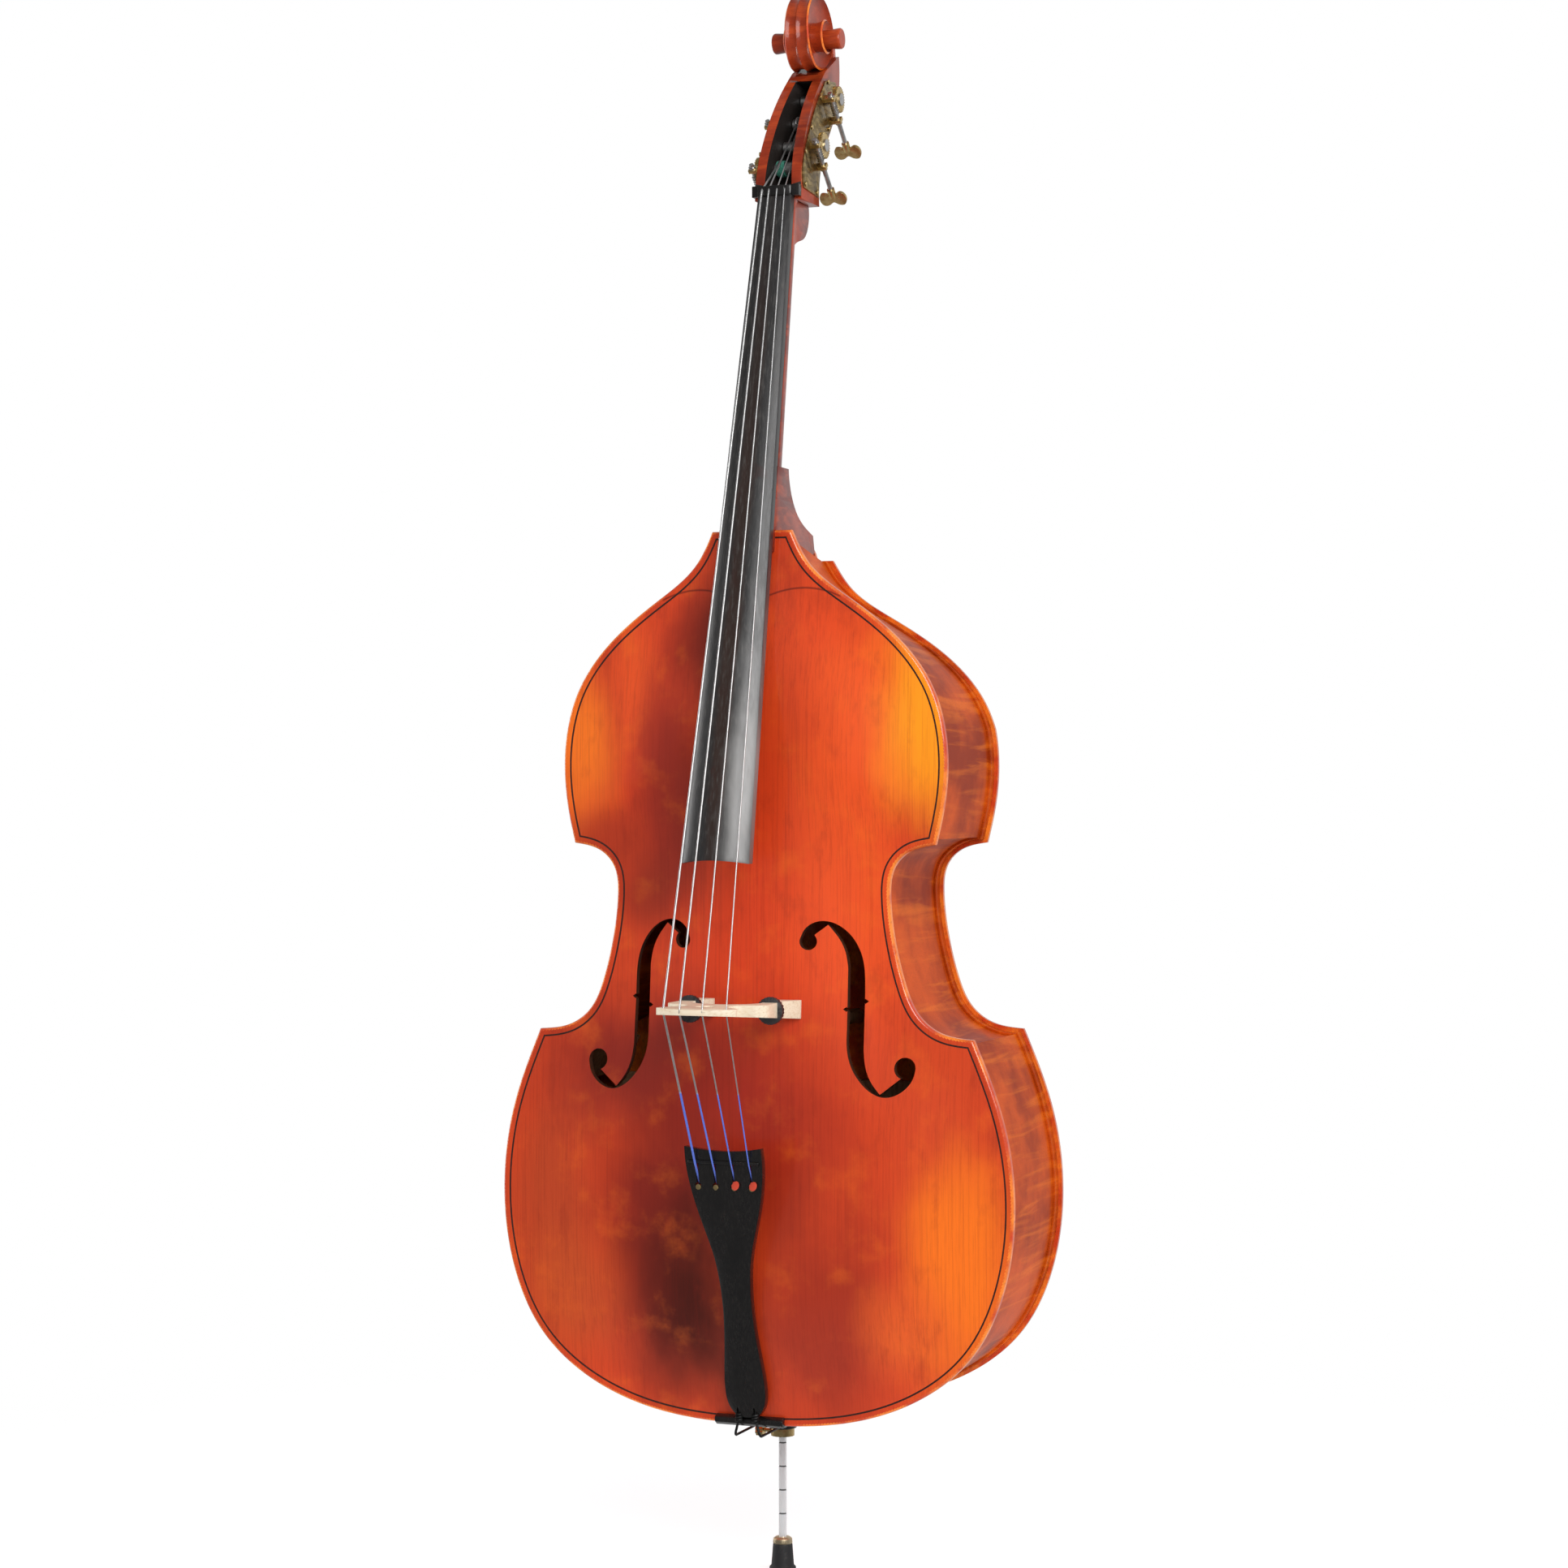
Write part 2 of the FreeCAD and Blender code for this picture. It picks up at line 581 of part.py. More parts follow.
def build_body():
    root = neck_root()
    front, inlay = front_and_purfling()
    write("top_plate", front)
    write("purfling", inlay)
    write("saddle", saddle())
    write("back_plate", back_plate())

    plug_hole = rod((0, 0, -60), (0, 0, 120), PLUG_R)
    upper, waist, lower = wall(OVERHANG, RIB_IN)
    for name, shape in (("upper", upper.cut(root)), ("waist", waist), ("lower", lower.cut(plug_hole))):
        write(f"rib_{name}_right", shape)
        write(f"rib_{name}_left", mirrored(shape))
    write("linings", *linings(root))
    write("end_block", end_block(plug_hole))
    write("neck_block", neck_block(root))
    write("corner_blocks", *corner_blocks())

    hollow_front = arched_sheet(Y_BELLY - 60, 60 + PLATE_ARCHED)
    bass_bar = box(-76, -64, Y_FRONT - 32, Y_FRONT + 2, 260, 900)
    write("bass_bar", bass_bar.cut(hollow_front))
    x, z = SOUND_POST
    write("sound_post", rod((x, Y_FRONT - 40, z), (x, Y_BACK, z), SOUND_POST_R).cut(hollow_front))
    write("back_braces", *[box(-w, w, Y_BACK - 18, Y_BACK, z - 14, z + 14) for z, w in BACK_BRACES])


def slab_ring(near, far, y0, y1):
    """Thin ring of even width inside the outline."""
    halves = []
    for name in CURVES:
        curve = CURVES[name]
        outer = at_depth(straight_inset(curve, near).toShape(), y0)
        inner = at_depth(straight_inset(curve, far).toShape(), y0)
        start = Part.makeLine(outer.Vertexes[0].Point, inner.Vertexes[0].Point)
        end = Part.makeLine(outer.Vertexes[-1].Point, inner.Vertexes[-1].Point)
        ring = Part.Wire(Part.__sortEdges__([outer, end, inner, start]))
        band = Part.Face(ring).extrude(Vector(0, y1 - y0, 0))
        if name == "upper":
            band = band.cut(corner_wedge(UPPER_TIP, -1))
        elif name == "waist":
            band = band.cut(corner_wedge(UPPER_TIP, 1)).cut(corner_wedge(LOWER_TIP, 1))
        elif name == "lower":
            band = band.cut(corner_wedge(LOWER_TIP, -1))
        elif name == "shoulder":
            band = band.cut(box(-400, 400, -400, 400, BODY_LENGTH - near, 1300))
        elif name == "top":
            band = band.cut(box(SHOULDER_HALF - far, 400, -400, 400, 1000, 1300))
        halves.append(band)
    right = join(halves)
    return join([right, mirrored(right)])


def back_plate():
    """Flat back, bent forward above the break, with the button that carries the heel."""
    flat = outline_face(0, Y_BACK, False).extrude(Vector(0, PLATE_EDGE, 0))
    right = SHOULDER_CURVE.toShape()
    left = mirrored(right)
    base = Part.makeLine(up(-SHOULDER[0][0], BACK_BREAK), up(SHOULDER[0][0], BACK_BREAK))
    button = Part.Arc(up(30, BODY_LENGTH), up(0, BODY_LENGTH + 34), up(-30, BODY_LENGTH)).toShape()
    steps = [Part.makeLine(up(s * SHOULDER_HALF, BODY_LENGTH), up(s * 30, BODY_LENGTH)) for s in (-1, 1)]
    edges = [at_depth(e, Y_BACK, True) for e in (right, left, base, button, *steps)]
    bent = Part.Face(Part.Wire(Part.__sortEdges__(edges))).extrude(Vector(0, PLATE_EDGE, 0))
    return flat.fuse(bent)


# ======== neck, fingerboard, nut ========
BOARD_SLOPE = (GLUE_Y_NUT - GLUE_Y_END) / (NUT_Z - BOARD_END_Z)


def glue_y(z):
    return GLUE_Y_NUT + BOARD_SLOPE * (z - NUT_Z)


def board_half(z):
    return 0.5 * (BOARD_WIDE_NUT + (BOARD_WIDE_END - BOARD_WIDE_NUT) * (NUT_Z - z) / (NUT_Z - BOARD_END_Z))


def sag(x, radius):
    return radius - math.sqrt(radius * radius - x * x)


def neck_section(z, deep):
    """D-shaped section of the neck, flat where the fingerboard is glued."""
    w = board_half(z)
    y = glue_y(z)
    half = [(w, 0), (0.97 * w, 0.36), (0.68 * w, 0.8), (0, 1.0)]
    points = [Vector(x, y + deep * f, z) for x, f in half]
    points += [Vector(-p.x, p.y, p.z) for p in points[-2::-1]]
    curve = Part.BSplineCurve()
    curve.interpolate(Points=points)
    return Part.Wire([curve.toShape(), Part.makeLine(points[-1], points[0])])


def neck_shaft():
    return Part.makeLoft([neck_section(z, deep) for z, deep in NECK_DEPTHS], True, False)


def heel_plan(z0, z1):
    """Standing block that gives the heel its width: straight in the mortise, narrower towards the button."""
    front, back = NECK_ROOT_HALF, HEEL_PLAN_BACK
    plan = [(-front, -135), (front, -135), (front, Y_FRONT), (back, 95), (-back, 95), (-front, Y_FRONT)]
    return Part.Face(polygon([Vector(x, y, z0) for x, y in plan])).extrude(Vector(0, 0, z1 - z0))


def neck_root():
    """Heel from the neck's back down into the body, as far as the mortise goes."""
    back_top = lean_point(BODY_LENGTH)
    back_low = lean_point(NECK_ROOT_Z)
    runs = [HEEL_CURVE, [back_top, back_low], [(Y_FRONT, NECK_ROOT_Z)],
            [(glue_y(NECK_ROOT_Z) + 7, NECK_ROOT_Z)], [(Y_BELLY - 6, BODY_LENGTH)],
            [(glue_y(BODY_LENGTH), BODY_LENGTH)], [(glue_y(1190), 1190)]]
    side = Part.Face(smooth_wire(runs, lambda y, z: up(-60, z, y))).extrude(Vector(120, 0, 0))
    return side.common(heel_plan(1040, 1220)).common(lean_layer(0, 300))


def lean_point(height):
    """Point of the back plate's inner face that belongs to a height on the front."""
    return (Y_BACK - BACK_LEAN * (height - BACK_BREAK), BACK_BREAK + BACK_RISE * (height - BACK_BREAK))


def cheek_half(z, extra=0.0):
    return CHEEK_HALF_LOW + extra - CHEEK_TAPER * (z - NUT_Z)


def cheek_wedge(extra):
    """Tapering block as wide as the pegbox, plus extra on each side."""
    low, high = 1480, 1840
    points = [(-cheek_half(low, extra), low), (cheek_half(low, extra), low), (cheek_half(high, extra), high),
              (-cheek_half(high, extra), high)]
    return prism_y(points, -120, 260)


def side_block(runs, half):
    return Part.Face(smooth_wire(runs, lambda y, z: up(-half, z, y))).extrude(Vector(2 * half, 0, 0))


def roller_span(name):
    """Half width between the cheeks at a roller."""
    return cheek_half(ROLLERS[name][2]) - CHEEK_THICK


def neck():
    head = side_block([PEGBOX_FRONT, PEGBOX_BACK, [(GLUE_Y_NUT, 1537)]], 60).common(cheek_wedge(0))
    cavity = side_block([[(-60, 1556)], CAVITY_BACK, [(60, 1708)], [(-60, 1708)]], 60)
    head = head.cut(cavity.common(cheek_wedge(-CHEEK_THICK)))
    volute = side_block([VOLUTE], VOLUTE_HALF)
    chin = side_block([[(-12, 1541)], CHIN, [(41, 1541)]], CHIN_HALF)
    eye = rod((-EYE_HALF, EYE_Y, EYE_Z), (EYE_HALF, EYE_Y, EYE_Z), EYE_R)
    turn = rod((-INNER_TURN_HALF, EYE_Y + 2, EYE_Z), (INNER_TURN_HALF, EYE_Y + 2, EYE_Z), INNER_TURN_R)
    whole = join([neck_shaft(), neck_root(), chin, head, volute, turn, eye])
    for name, (side, y, z, _) in ROLLERS.items():
        reach = roller_span(name)
        whole = whole.cut(rod((side * (reach - 2), y, z), (side * 45, y, z), JOURNAL_R + FIT))
        whole = whole.cut(rod((side * (2 - reach), y, z), (-side * (reach + 8.5), y, z), JOURNAL_R + FIT))
    for shape in screws():
        whole = whole.cut(shape)
    return whole


def fingerboard():
    """Long board, narrow at the nut, rounded across, with a shallow hollow in its free end."""
    wires = []
    for z in (NUT_Z, BOARD_END_Z - 2):
        w = board_half(z)
        y = glue_y(z)
        crown = y - BOARD_SIDE - sag(w, BOARD_ARCH_R)
        corners = [Vector(-w, y - BOARD_SIDE, z), Vector(-w, y, z), Vector(w, y, z),
                   Vector(w, y - BOARD_SIDE, z)]
        arc = Part.Arc(corners[3], Vector(0, crown, z), corners[0]).toShape()
        wires.append(Part.Wire([Part.makeLine(corners[0], corners[1]), Part.makeLine(corners[1], corners[2]),
                                Part.makeLine(corners[2], corners[3]), arc]))
    board = Part.makeLoft(wires, True, True)
    hollow_z = BOARD_END_Z - 2 - BOARD_HOLLOW_R + BOARD_HOLLOW_DEEP
    end_hollow = rod((0, -320, hollow_z), (0, -100, hollow_z), BOARD_HOLLOW_R)
    high, low = BOARD_CHANNEL
    under = prism_x([(glue_y(high) + 1, high), (glue_y(high) - BOARD_CHANNEL_DEEP, high - 10),
                     (glue_y(low) - BOARD_CHANNEL_DEEP, low), (glue_y(low) + 1, low)],
                    -BOARD_CHANNEL_HALF, BOARD_CHANNEL_HALF)
    return board.cut(end_hollow).cut(under)


def nut():
    base = box(-CHEEK_HALF_LOW, CHEEK_HALF_LOW, NUT_BASE_Y, GLUE_Y_NUT, NUT_Z, NUT_Z + NUT_TALL)
    axis_y = NUT_TOP_Y + BOARD_ARCH_R
    ridge = rod((0, axis_y, NUT_Z), (0, axis_y, NUT_Z + NUT_TALL - 2), BOARD_ARCH_R)
    half = BOARD_WIDE_NUT / 2
    ridge = ridge.common(box(-half, half, NUT_TOP_Y - 5, NUT_BASE_Y, NUT_Z, NUT_Z + NUT_TALL))
    whole = base.fuse(ridge)
    for string in STRINGS:
        whole = whole.cut(string_tube(string, FIT))
    return whole


# ======== strings ========
def crown_y(x):
    """Depth of the bridge's crown at x."""
    return BRIDGE_TOP_Y + sag(x, CROWN_R)


def tail_y(z):
    """Depth of the tailpiece's front face at a height."""
    slope = (TAILPIECE_LOW_Y - TAILPIECE_TOP_Y) / (TAILPIECE_TOP_Z - TAILPIECE_LOW_Z)
    return TAILPIECE_TOP_Y + slope * (TAILPIECE_TOP_Z - z)


def rounded_path(points, radii):
    """Straight runs joined by tangent arcs, one radius for each corner."""
    edges = []
    start = points[0]
    for before, here, after, radius in zip(points, points[1:], points[2:], radii):
        a = (here - before).normalize()
        b = (after - here).normalize()
        turn = a.getAngle(b)
        reach = radius * math.tan(turn / 2)
        middle = here + (b - a).normalize() * (radius / math.cos(turn / 2) - radius)
        first = here - a * reach
        last = here + b * reach
        edges.append(Part.makeLine(start, first))
        edges.append(Part.Arc(first, middle, last).toShape())
        start = last
    edges.append(Part.makeLine(start, points[-1]))
    return Part.Wire(edges)


def tube(path, radius):
    first = path.Edges[0]
    direction = first.tangentAt(first.FirstParameter)
    ring = Part.Wire([Part.makeCircle(radius, first.Vertexes[0].Point, direction)])
    return path.makePipeShell([ring], True, True)


def winding_point(name, diameter):
    """Where the string leaves its winding towards the nut: the front tangent point."""
    _, y, z, x = ROLLERS[name]
    radius = WINDING_R + diameter / 2 + 0.12
    nut_z = NUT_Z + NUT_TALL / 2
    dy, dz = y - NUT_TOP_Y, z - nut_z
    far = math.hypot(dy, dz)
    turn = math.atan2(dz, dy) + math.asin(radius / far)
    run = math.sqrt(far * far - radius * radius)
    return Vector(x, NUT_TOP_Y + run * math.cos(turn), nut_z + run * math.sin(turn))


def bar_corner(string):
    """Where the two straight runs that touch the tailpiece's bar would meet in front of it."""
    _, diameter, _, x_bridge, x_tail = string
    reach = FRET_R + diameter / 2 + FIT
    bar = (tail_y(FRET_Z), FRET_Z)
    runs = []
    for y, z, turn in ((crown_y(x_bridge), BRIDGE_Z, -1), (tail_y(STRING_HOLE_Z) + 6, STRING_HOLE_Z, 1)):
        dy, dz = bar[0] - y, bar[1] - z
        heading = math.atan2(dz, dy) + turn * math.asin(reach / math.hypot(dy, dz))
        runs.append((y, z, math.cos(heading), math.sin(heading)))
    (y0, z0, a0, b0), (y1, z1, a1, b1) = runs
    far = ((y1 - y0) * b1 - (z1 - z0) * a1) / (a0 * b1 - b0 * a1)
    return Vector(x_tail, y0 + far * a0, z0 + far * b0)


def string_points(string):
    name, diameter, x_nut, x_bridge, x_tail = string
    nut_y = NUT_TOP_Y + 0.8 * sag(x_nut, BOARD_ARCH_R)
    return [winding_point(name, diameter), Vector(x_nut, nut_y, NUT_Z + NUT_TALL / 2),
            Vector(x_bridge, crown_y(x_bridge) - 0.1 * diameter, BRIDGE_Z), bar_corner(string),
            Vector(x_tail, tail_y(STRING_HOLE_Z) + 6, STRING_HOLE_Z)]


def string_tube(string, extra):
    points = string_points(string)
    bends = [STRING_BEND_R, STRING_BEND_R, FRET_R + string[1] / 2 + FIT]
    return tube(rounded_path(points, bends), string[1] / 2 + extra)


def winding(name):
    """Turns of string on a roller, as one sleeve."""
    _, y, z, x = ROLLERS[name]
    sleeve = rod((x - WINDING_HALF, y, z), (x + WINDING_HALF, y, z), WINDING_R)
    return sleeve.cut(rod((x - 20, y, z), (x + 20, y, z), ROLLER_R))


# ======== bridge ========
def bridge_blank(y0, y1):
    """Standing wedge: thick at the feet and thin at the crown; profile is (height, y)."""
    low_foot, high_foot = BRIDGE_FOOT_LOW, BRIDGE_FOOT_LOW + BRIDGE_FOOT_DEEP
    low_crown, high_crown = BRIDGE_Z - BRIDGE_CROWN_DEEP / 2, BRIDGE_Z + BRIDGE_CROWN_DEEP / 2
    foot_y, top_y = BRIDGE_FOOT_Y, BRIDGE_TOP_Y
    def edge(z0, z1, y):
        return z0 + (z1 - z0) * (y - foot_y) / (top_y - foot_y)
    points = [(y0, edge(low_foot, low_crown, y0)), (y0, edge(high_foot, high_crown, y0)),
              (y1, edge(high_foot, high_crown, y1)), (y1, edge(low_foot, low_crown, y1))]
    return prism_x(points, -90, 90)


def bridge_top():
    """Everything above the wheels: crown, waist, two legs and a heart-shaped hole."""
    left_side = [(-x, y) for x, y in BRIDGE_SIDE[::-1]]
    left_arch = [(-x, y) for x, y in BRIDGE_ARCH[-2::-1]]
    low_z = BRIDGE_Z - BRIDGE_BLANK_LOW
    edges = []
    for run in (BRIDGE_SIDE, BRIDGE_ARCH + left_arch, left_side):
        curve = Part.BSplineCurve()
        curve.interpolate(Points=[Vector(x, y, low_z) for x, y in run])
        edges.append(curve.toShape())
    for side in (1, -1):
        foot_out = Vector(side * BRIDGE_SIDE[-1][0], BRIDGE_SIDE[-1][1], low_z)
        foot_in = Vector(side * BRIDGE_ARCH[0][0], BRIDGE_ARCH[0][1], low_z)
        edges.append(Part.makeLine(foot_out, foot_in))
    corner = BRIDGE_SIDE[0]
    edges.append(Part.Arc(Vector(-corner[0], corner[1], low_z), Vector(0, BRIDGE_TOP_Y, low_z),
                          Vector(corner[0], corner[1], low_z)).toShape())
    whole = Part.Face(Part.Wire(Part.__sortEdges__(edges))).extrude(Vector(0, 0, BRIDGE_BLANK_WIDE))
    heart = smooth_wire([HEART, [(-x, y) for x, y in HEART[::-1]]], lambda x, y: Vector(x, y, low_z - 10))
    whole = whole.common(bridge_blank(-330, -170)).cut(Part.Face(heart).extrude(Vector(0, 0, 80)))
    for x in (-ADJUSTER_X, ADJUSTER_X):
        top, low = (x, ADJUSTER_Y - 24, BRIDGE_MID_Z), (x, ADJUSTER_Y, BRIDGE_MID_Z)
        whole = whole.cut(rod(top, low, ADJUSTER_POST_R + FIT))
    for string in STRINGS:
        whole = whole.cut(string_tube(string, FIT))
    return whole


def bridge_feet():
    """Two feet cut off below the adjusting wheels and fitted to the arch of the front."""
    belly = arched_sheet(Y_BELLY, 60)
    feet = []
    for side in (1, -1):
        outline = polygon([Vector(side * x, y, BRIDGE_Z - BRIDGE_BLANK_LOW) for x, y in FOOT_PROFILE])
        foot = Part.Face(outline).extrude(Vector(0, 0, BRIDGE_BLANK_WIDE))
        foot = foot.common(bridge_blank(-180, -110)).cut(belly)
        post_hole = rod((side * ADJUSTER_X, -190, BRIDGE_MID_Z), (side * ADJUSTER_X, -144, BRIDGE_MID_Z),
                        ADJUSTER_POST_R + FIT)
        feet.append(foot.cut(post_hole))
    return feet


def adjuster(side):
    """Knurled wheel with a threaded post in the foot and a plain pin in the leg."""
    x = side * ADJUSTER_X
    y0 = ADJUSTER_Y - ADJUSTER_THICK / 2
    y1 = ADJUSTER_Y + ADJUSTER_THICK / 2
    wheel = rod((x, y0, BRIDGE_MID_Z), (x, y1, BRIDGE_MID_Z), ADJUSTER_R)
    knurl_at = ADJUSTER_R + 0.6
    for i in range(KNURLS):
        a = 2 * math.pi * i / KNURLS
        cx = x + knurl_at * math.cos(a)
        cz = BRIDGE_MID_Z + knurl_at * math.sin(a)
        wheel = wheel.cut(rod((cx, y0 - 1, cz), (cx, y1 + 1, cz), KNURL_R))
    post = rod((x, y0 - ADJUSTER_POST_REACH, BRIDGE_MID_Z), (x, y1 + ADJUSTER_POST_REACH, BRIDGE_MID_Z),
               ADJUSTER_POST_R)
    return wheel.fuse(post)


# ======== tailpiece, cable, endpin ========
def tailpiece():
    """Long ebony plate, wide at the strings, with a keyhole for each string's ball and the cable's route."""
    right = [(w, z) for z, w in TAIL_HALF]
    left = [(-w, z) for w, z in right[::-1]]
    top = Part.Arc(up(*right[-1]), up(0, TAILPIECE_TOP_Z - 5), up(*left[0]))
    end = Part.makeLine(up(*left[-1]), up(*right[0]))
    edges = [spline(right).toShape(), spline(left).toShape(), top.toShape(), end]
    outline = Part.Wire(Part.__sortEdges__([at_depth(edge, -260) for edge in edges]))
    blank = Part.Face(outline).extrude(Vector(0, 180, 0))
    high, low = TAILPIECE_TOP_Z + 6, TAILPIECE_LOW_Z - 6
    lean = prism_x([(tail_y(high), high), (tail_y(high) + TAILPIECE_THICK, high),
                    (tail_y(low) + TAILPIECE_THICK, low), (tail_y(low), low)], -80, 80)
    whole = blank.common(lean).cut(tailpiece_fret())
    hole_y = tail_y(STRING_HOLE_Z)
    for _, diameter, _, _, x in STRINGS:
        slot = diameter / 2 + 0.4
        whole = whole.cut(rod((x, hole_y - 10, STRING_HOLE_Z), (x, hole_y + 30, STRING_HOLE_Z), BALL_HOLE_R))
        whole = whole.cut(box(x - slot, x + slot, -260, -150, STRING_HOLE_Z, FRET_Z))
    return whole.cut(tube(cable_path(), CABLE_R))


def tailpiece_fret():
    return rod((-FRET_HALF, tail_y(FRET_Z), FRET_Z), (FRET_HALF, tail_y(FRET_Z), FRET_Z), FRET_R)


def cable_path():
    """From the tailpiece over the saddle, back round the waist of the plug and up again."""
    ring = PLUG_WAIST_R + CABLE_R + FIT
    front_y = SADDLE_Y - CABLE_R - 0.6
    right = [Vector(10, tail_y(40) + TAILPIECE_THICK / 2, 40), Vector(11.5, front_y, 8),
             Vector(ring, front_y, CABLE_Z), Vector(ring, ring, CABLE_Z)]
    left = [Vector(-p.x, p.y, p.z) for p in right[::-1]]
    return rounded_path(right + left, [20, 6, ring - 0.02, ring - 0.02, 6, 20])


def endpin_plug():
    """Ebony plug: a collar with a groove for the tail cable below the body and a long stem inside."""
    stem = Part.makeCylinder(PLUG_R, PLUG_TOP_Z + 2, Vector(0, 0, -2))
    flange = Part.makeCylinder(PLUG_WAIST_R + 4, 6, Vector(0, 0, -8))
    waist = Part.makeCylinder(PLUG_WAIST_R, 20, Vector(0, 0, -23))
    lip = Part.makeCylinder(PLUG_WAIST_R + 3, 6, Vector(0, 0, -23))
    return join([stem, flange, waist, lip]).cut(Part.makeCylinder(ROD_R + FIT, 120, Vector(0, 0, -40)))


def endpin_collar():
    """Brass collar that the thumbscrew goes through."""
    ring = Part.makeCylinder(COLLAR_R, 10, Vector(0, 0, COLLAR_LOW_Z))
    ring = ring.cut(Part.makeCylinder(ROD_R + FIT, 30, Vector(0, 0, -45)))
    return ring.cut(rod((0, 0, SCREW_Z), (-40, 0, SCREW_Z), SCREW_R + FIT))


def thumbscrew():
    stem = rod((-ROD_R - 0.3, 0, SCREW_Z), (-26, 0, SCREW_Z), SCREW_R)
    knob = rod((-25, 0, SCREW_Z), (-35, 0, SCREW_Z), 8.0)
    scallops = 8
    for i in range(scallops):
        a = 2 * math.pi * i / scallops
        y, z = 8.6 * math.cos(a), SCREW_Z + 8.6 * math.sin(a)
        knob = knob.cut(rod((-20, y, z), (-40, y, z), 1.8))
    return stem.fuse(knob)


def endpin_rod():
    """Steel rod with a ring groove at even steps."""
    low = FOOT_TOP_Z - FOOT_SOCKET
    shaft = Part.makeCylinder(ROD_R, ROD_TOP_Z - low, Vector(0, 0, low))
    groove = Part.makeCylinder(ROD_R + 1, RING_WIDE, Vector(0, 0, -RING_WIDE / 2))
    groove = groove.cut(Part.makeCylinder(ROD_R - RING_DEEP, RING_WIDE, Vector(0, 0, -RING_WIDE / 2)))
    for i in range(1, 1 + int((ROD_TOP_Z - 10 - FERRULE_Z) / RING_STEP)):
        shaft = shaft.cut(groove.translated(Vector(0, 0, FERRULE_Z + RING_STEP * i)))
    return shaft


def turned(profile):
    """Solid of revolution about the endpin's axis from (radius, height) points."""
    face = Part.Face(polygon([Vector(r, 0, z) for r, z in profile]))
    return face.revolve(Vector(0, 0, 0), Vector(0, 0, 1), 360)


def rubber_foot():
    socket_z = FOOT_TOP_Z - FOOT_SOCKET
    return turned([(ROD_R, FOOT_TOP_Z), (12, FOOT_TOP_Z), (12.5, FOOT_TOP_Z - 2), (14.5, FOOT_RIM_Z),
                   (17, FOOT_RIM_Z - 2), (17, FOOT_RIM_Z - 8), (15.5, FOOT_LOW_Z + 2), (13.5, FOOT_LOW_Z),
                   (0, FOOT_LOW_Z), (0, socket_z), (ROD_R, socket_z)])


def ferrule():
    return turned([(ROD_R, FERRULE_Z), (9, FERRULE_Z), (12, FERRULE_Z - 2), (12.5, FOOT_TOP_Z),
                   (ROD_R, FOOT_TOP_Z)])


# ======== tuning machines ========
# along a worm shaft, (y, z), and from the gear to its worm
DOWN = (math.cos(math.radians(WORM_TILT)), -math.sin(math.radians(WORM_TILT)))
ASIDE = (DOWN[1], -DOWN[0])


def worm_centre(name):
    side, y, z, _ = ROLLERS[name]
    return Vector(side * GEAR_X, y + ASIDE[0] * WORM_DISTANCE, z + ASIDE[1] * WORM_DISTANCE)


def gear(name):
    """Brass gear with straight teeth; one tooth points at the worm."""
    side, y, z, _ = ROLLERS[name]
    x0 = side * GEAR_X - GEAR_THICK / 2
    towards = math.atan2(ASIDE[1], ASIDE[0])
    tooth = [(GEAR_ROOT_R, -0.95), (GEAR_TIP_R, -0.45), (GEAR_TIP_R, 0.45), (GEAR_ROOT_R, 0.95)]
    points = []
    for i in range(GEAR_TEETH):
        middle = towards + 2 * math.pi * i / GEAR_TEETH
        for r, width in tooth:
            a = middle + width / r
            points.append(Vector(x0, y + r * math.cos(a), z + r * math.sin(a)))
    disc = Part.Face(polygon(points)).extrude(Vector(GEAR_THICK, 0, 0))
    return disc.cut(rod((x0 - 1, y, z), (x0 + GEAR_THICK + 1, y, z), JOURNAL_R))


def roller(name):
    side, y, z, _ = ROLLERS[name]
    reach = roller_span(name)
    outer = GEAR_X + GEAR_THICK / 2
    barrel = rod((-reach + 1, y, z), (reach - 1, y, z), ROLLER_R)
    journal = rod((-side * (reach + 8), y, z), (side * outer, y, z), JOURNAL_R)
    cap = rod((side * outer, y, z), (side * (outer + 2), y, z), 8.0)
    return join([barrel, journal, cap])


def worm_thread():
    """Right-hand thread around +Z, its middle at the origin and a gap facing +X."""
    length = WORM_PITCH * WORM_TURNS
    helix = Part.makeHelix(WORM_PITCH, length, WORM_CORE_R)
    profile = polygon([Vector(WORM_CORE_R - 0.3, 0, -0.8), Vector(WORM_R, 0, -0.35), Vector(WORM_R, 0, 0.35),
                       Vector(WORM_CORE_R - 0.3, 0, 0.8)])
    thread = Part.Wire(helix.Edges).makePipeShell([profile], True, True)
    return thread.translated(Vector(0, 0, -length / 2))


def set_along_shaft(shape, centre):
    """Turns a piece built around +Z, with +X towards the gear, onto a worm shaft."""
    z_dir = Vector(0, DOWN[0], DOWN[1])
    x_dir = Vector(0, -ASIDE[0], -ASIDE[1])
    y_dir = z_dir.cross(x_dir)
    m = Matrix(x_dir.x, y_dir.x, z_dir.x, centre.x, x_dir.y, y_dir.y, z_dir.y, centre.y,
               x_dir.z, y_dir.z, z_dir.z, centre.z, 0, 0, 0, 1)
    return shape.transformed(m)


def worm(name):
    half = WORM_PITCH * WORM_TURNS / 2
    shaft = Part.makeCylinder(SHAFT_R, KEY_AT + 26, Vector(0, 0, -26))
    core = Part.makeCylinder(WORM_CORE_R, 2 * half + 3, Vector(0, 0, -half - 1.5))
    collars = [Part.makeCylinder(SHAFT_R + 1.6, 2.0, Vector(0, 0, s)) for s in
               (-BRACKET_AT - BRACKET_LONG / 2 - 2.3, BRACKET_AT + BRACKET_LONG / 2 + 0.3)]
    whole = join([shaft, core, *collars, worm_thread()])
    return set_along_shaft(whole, worm_centre(name))


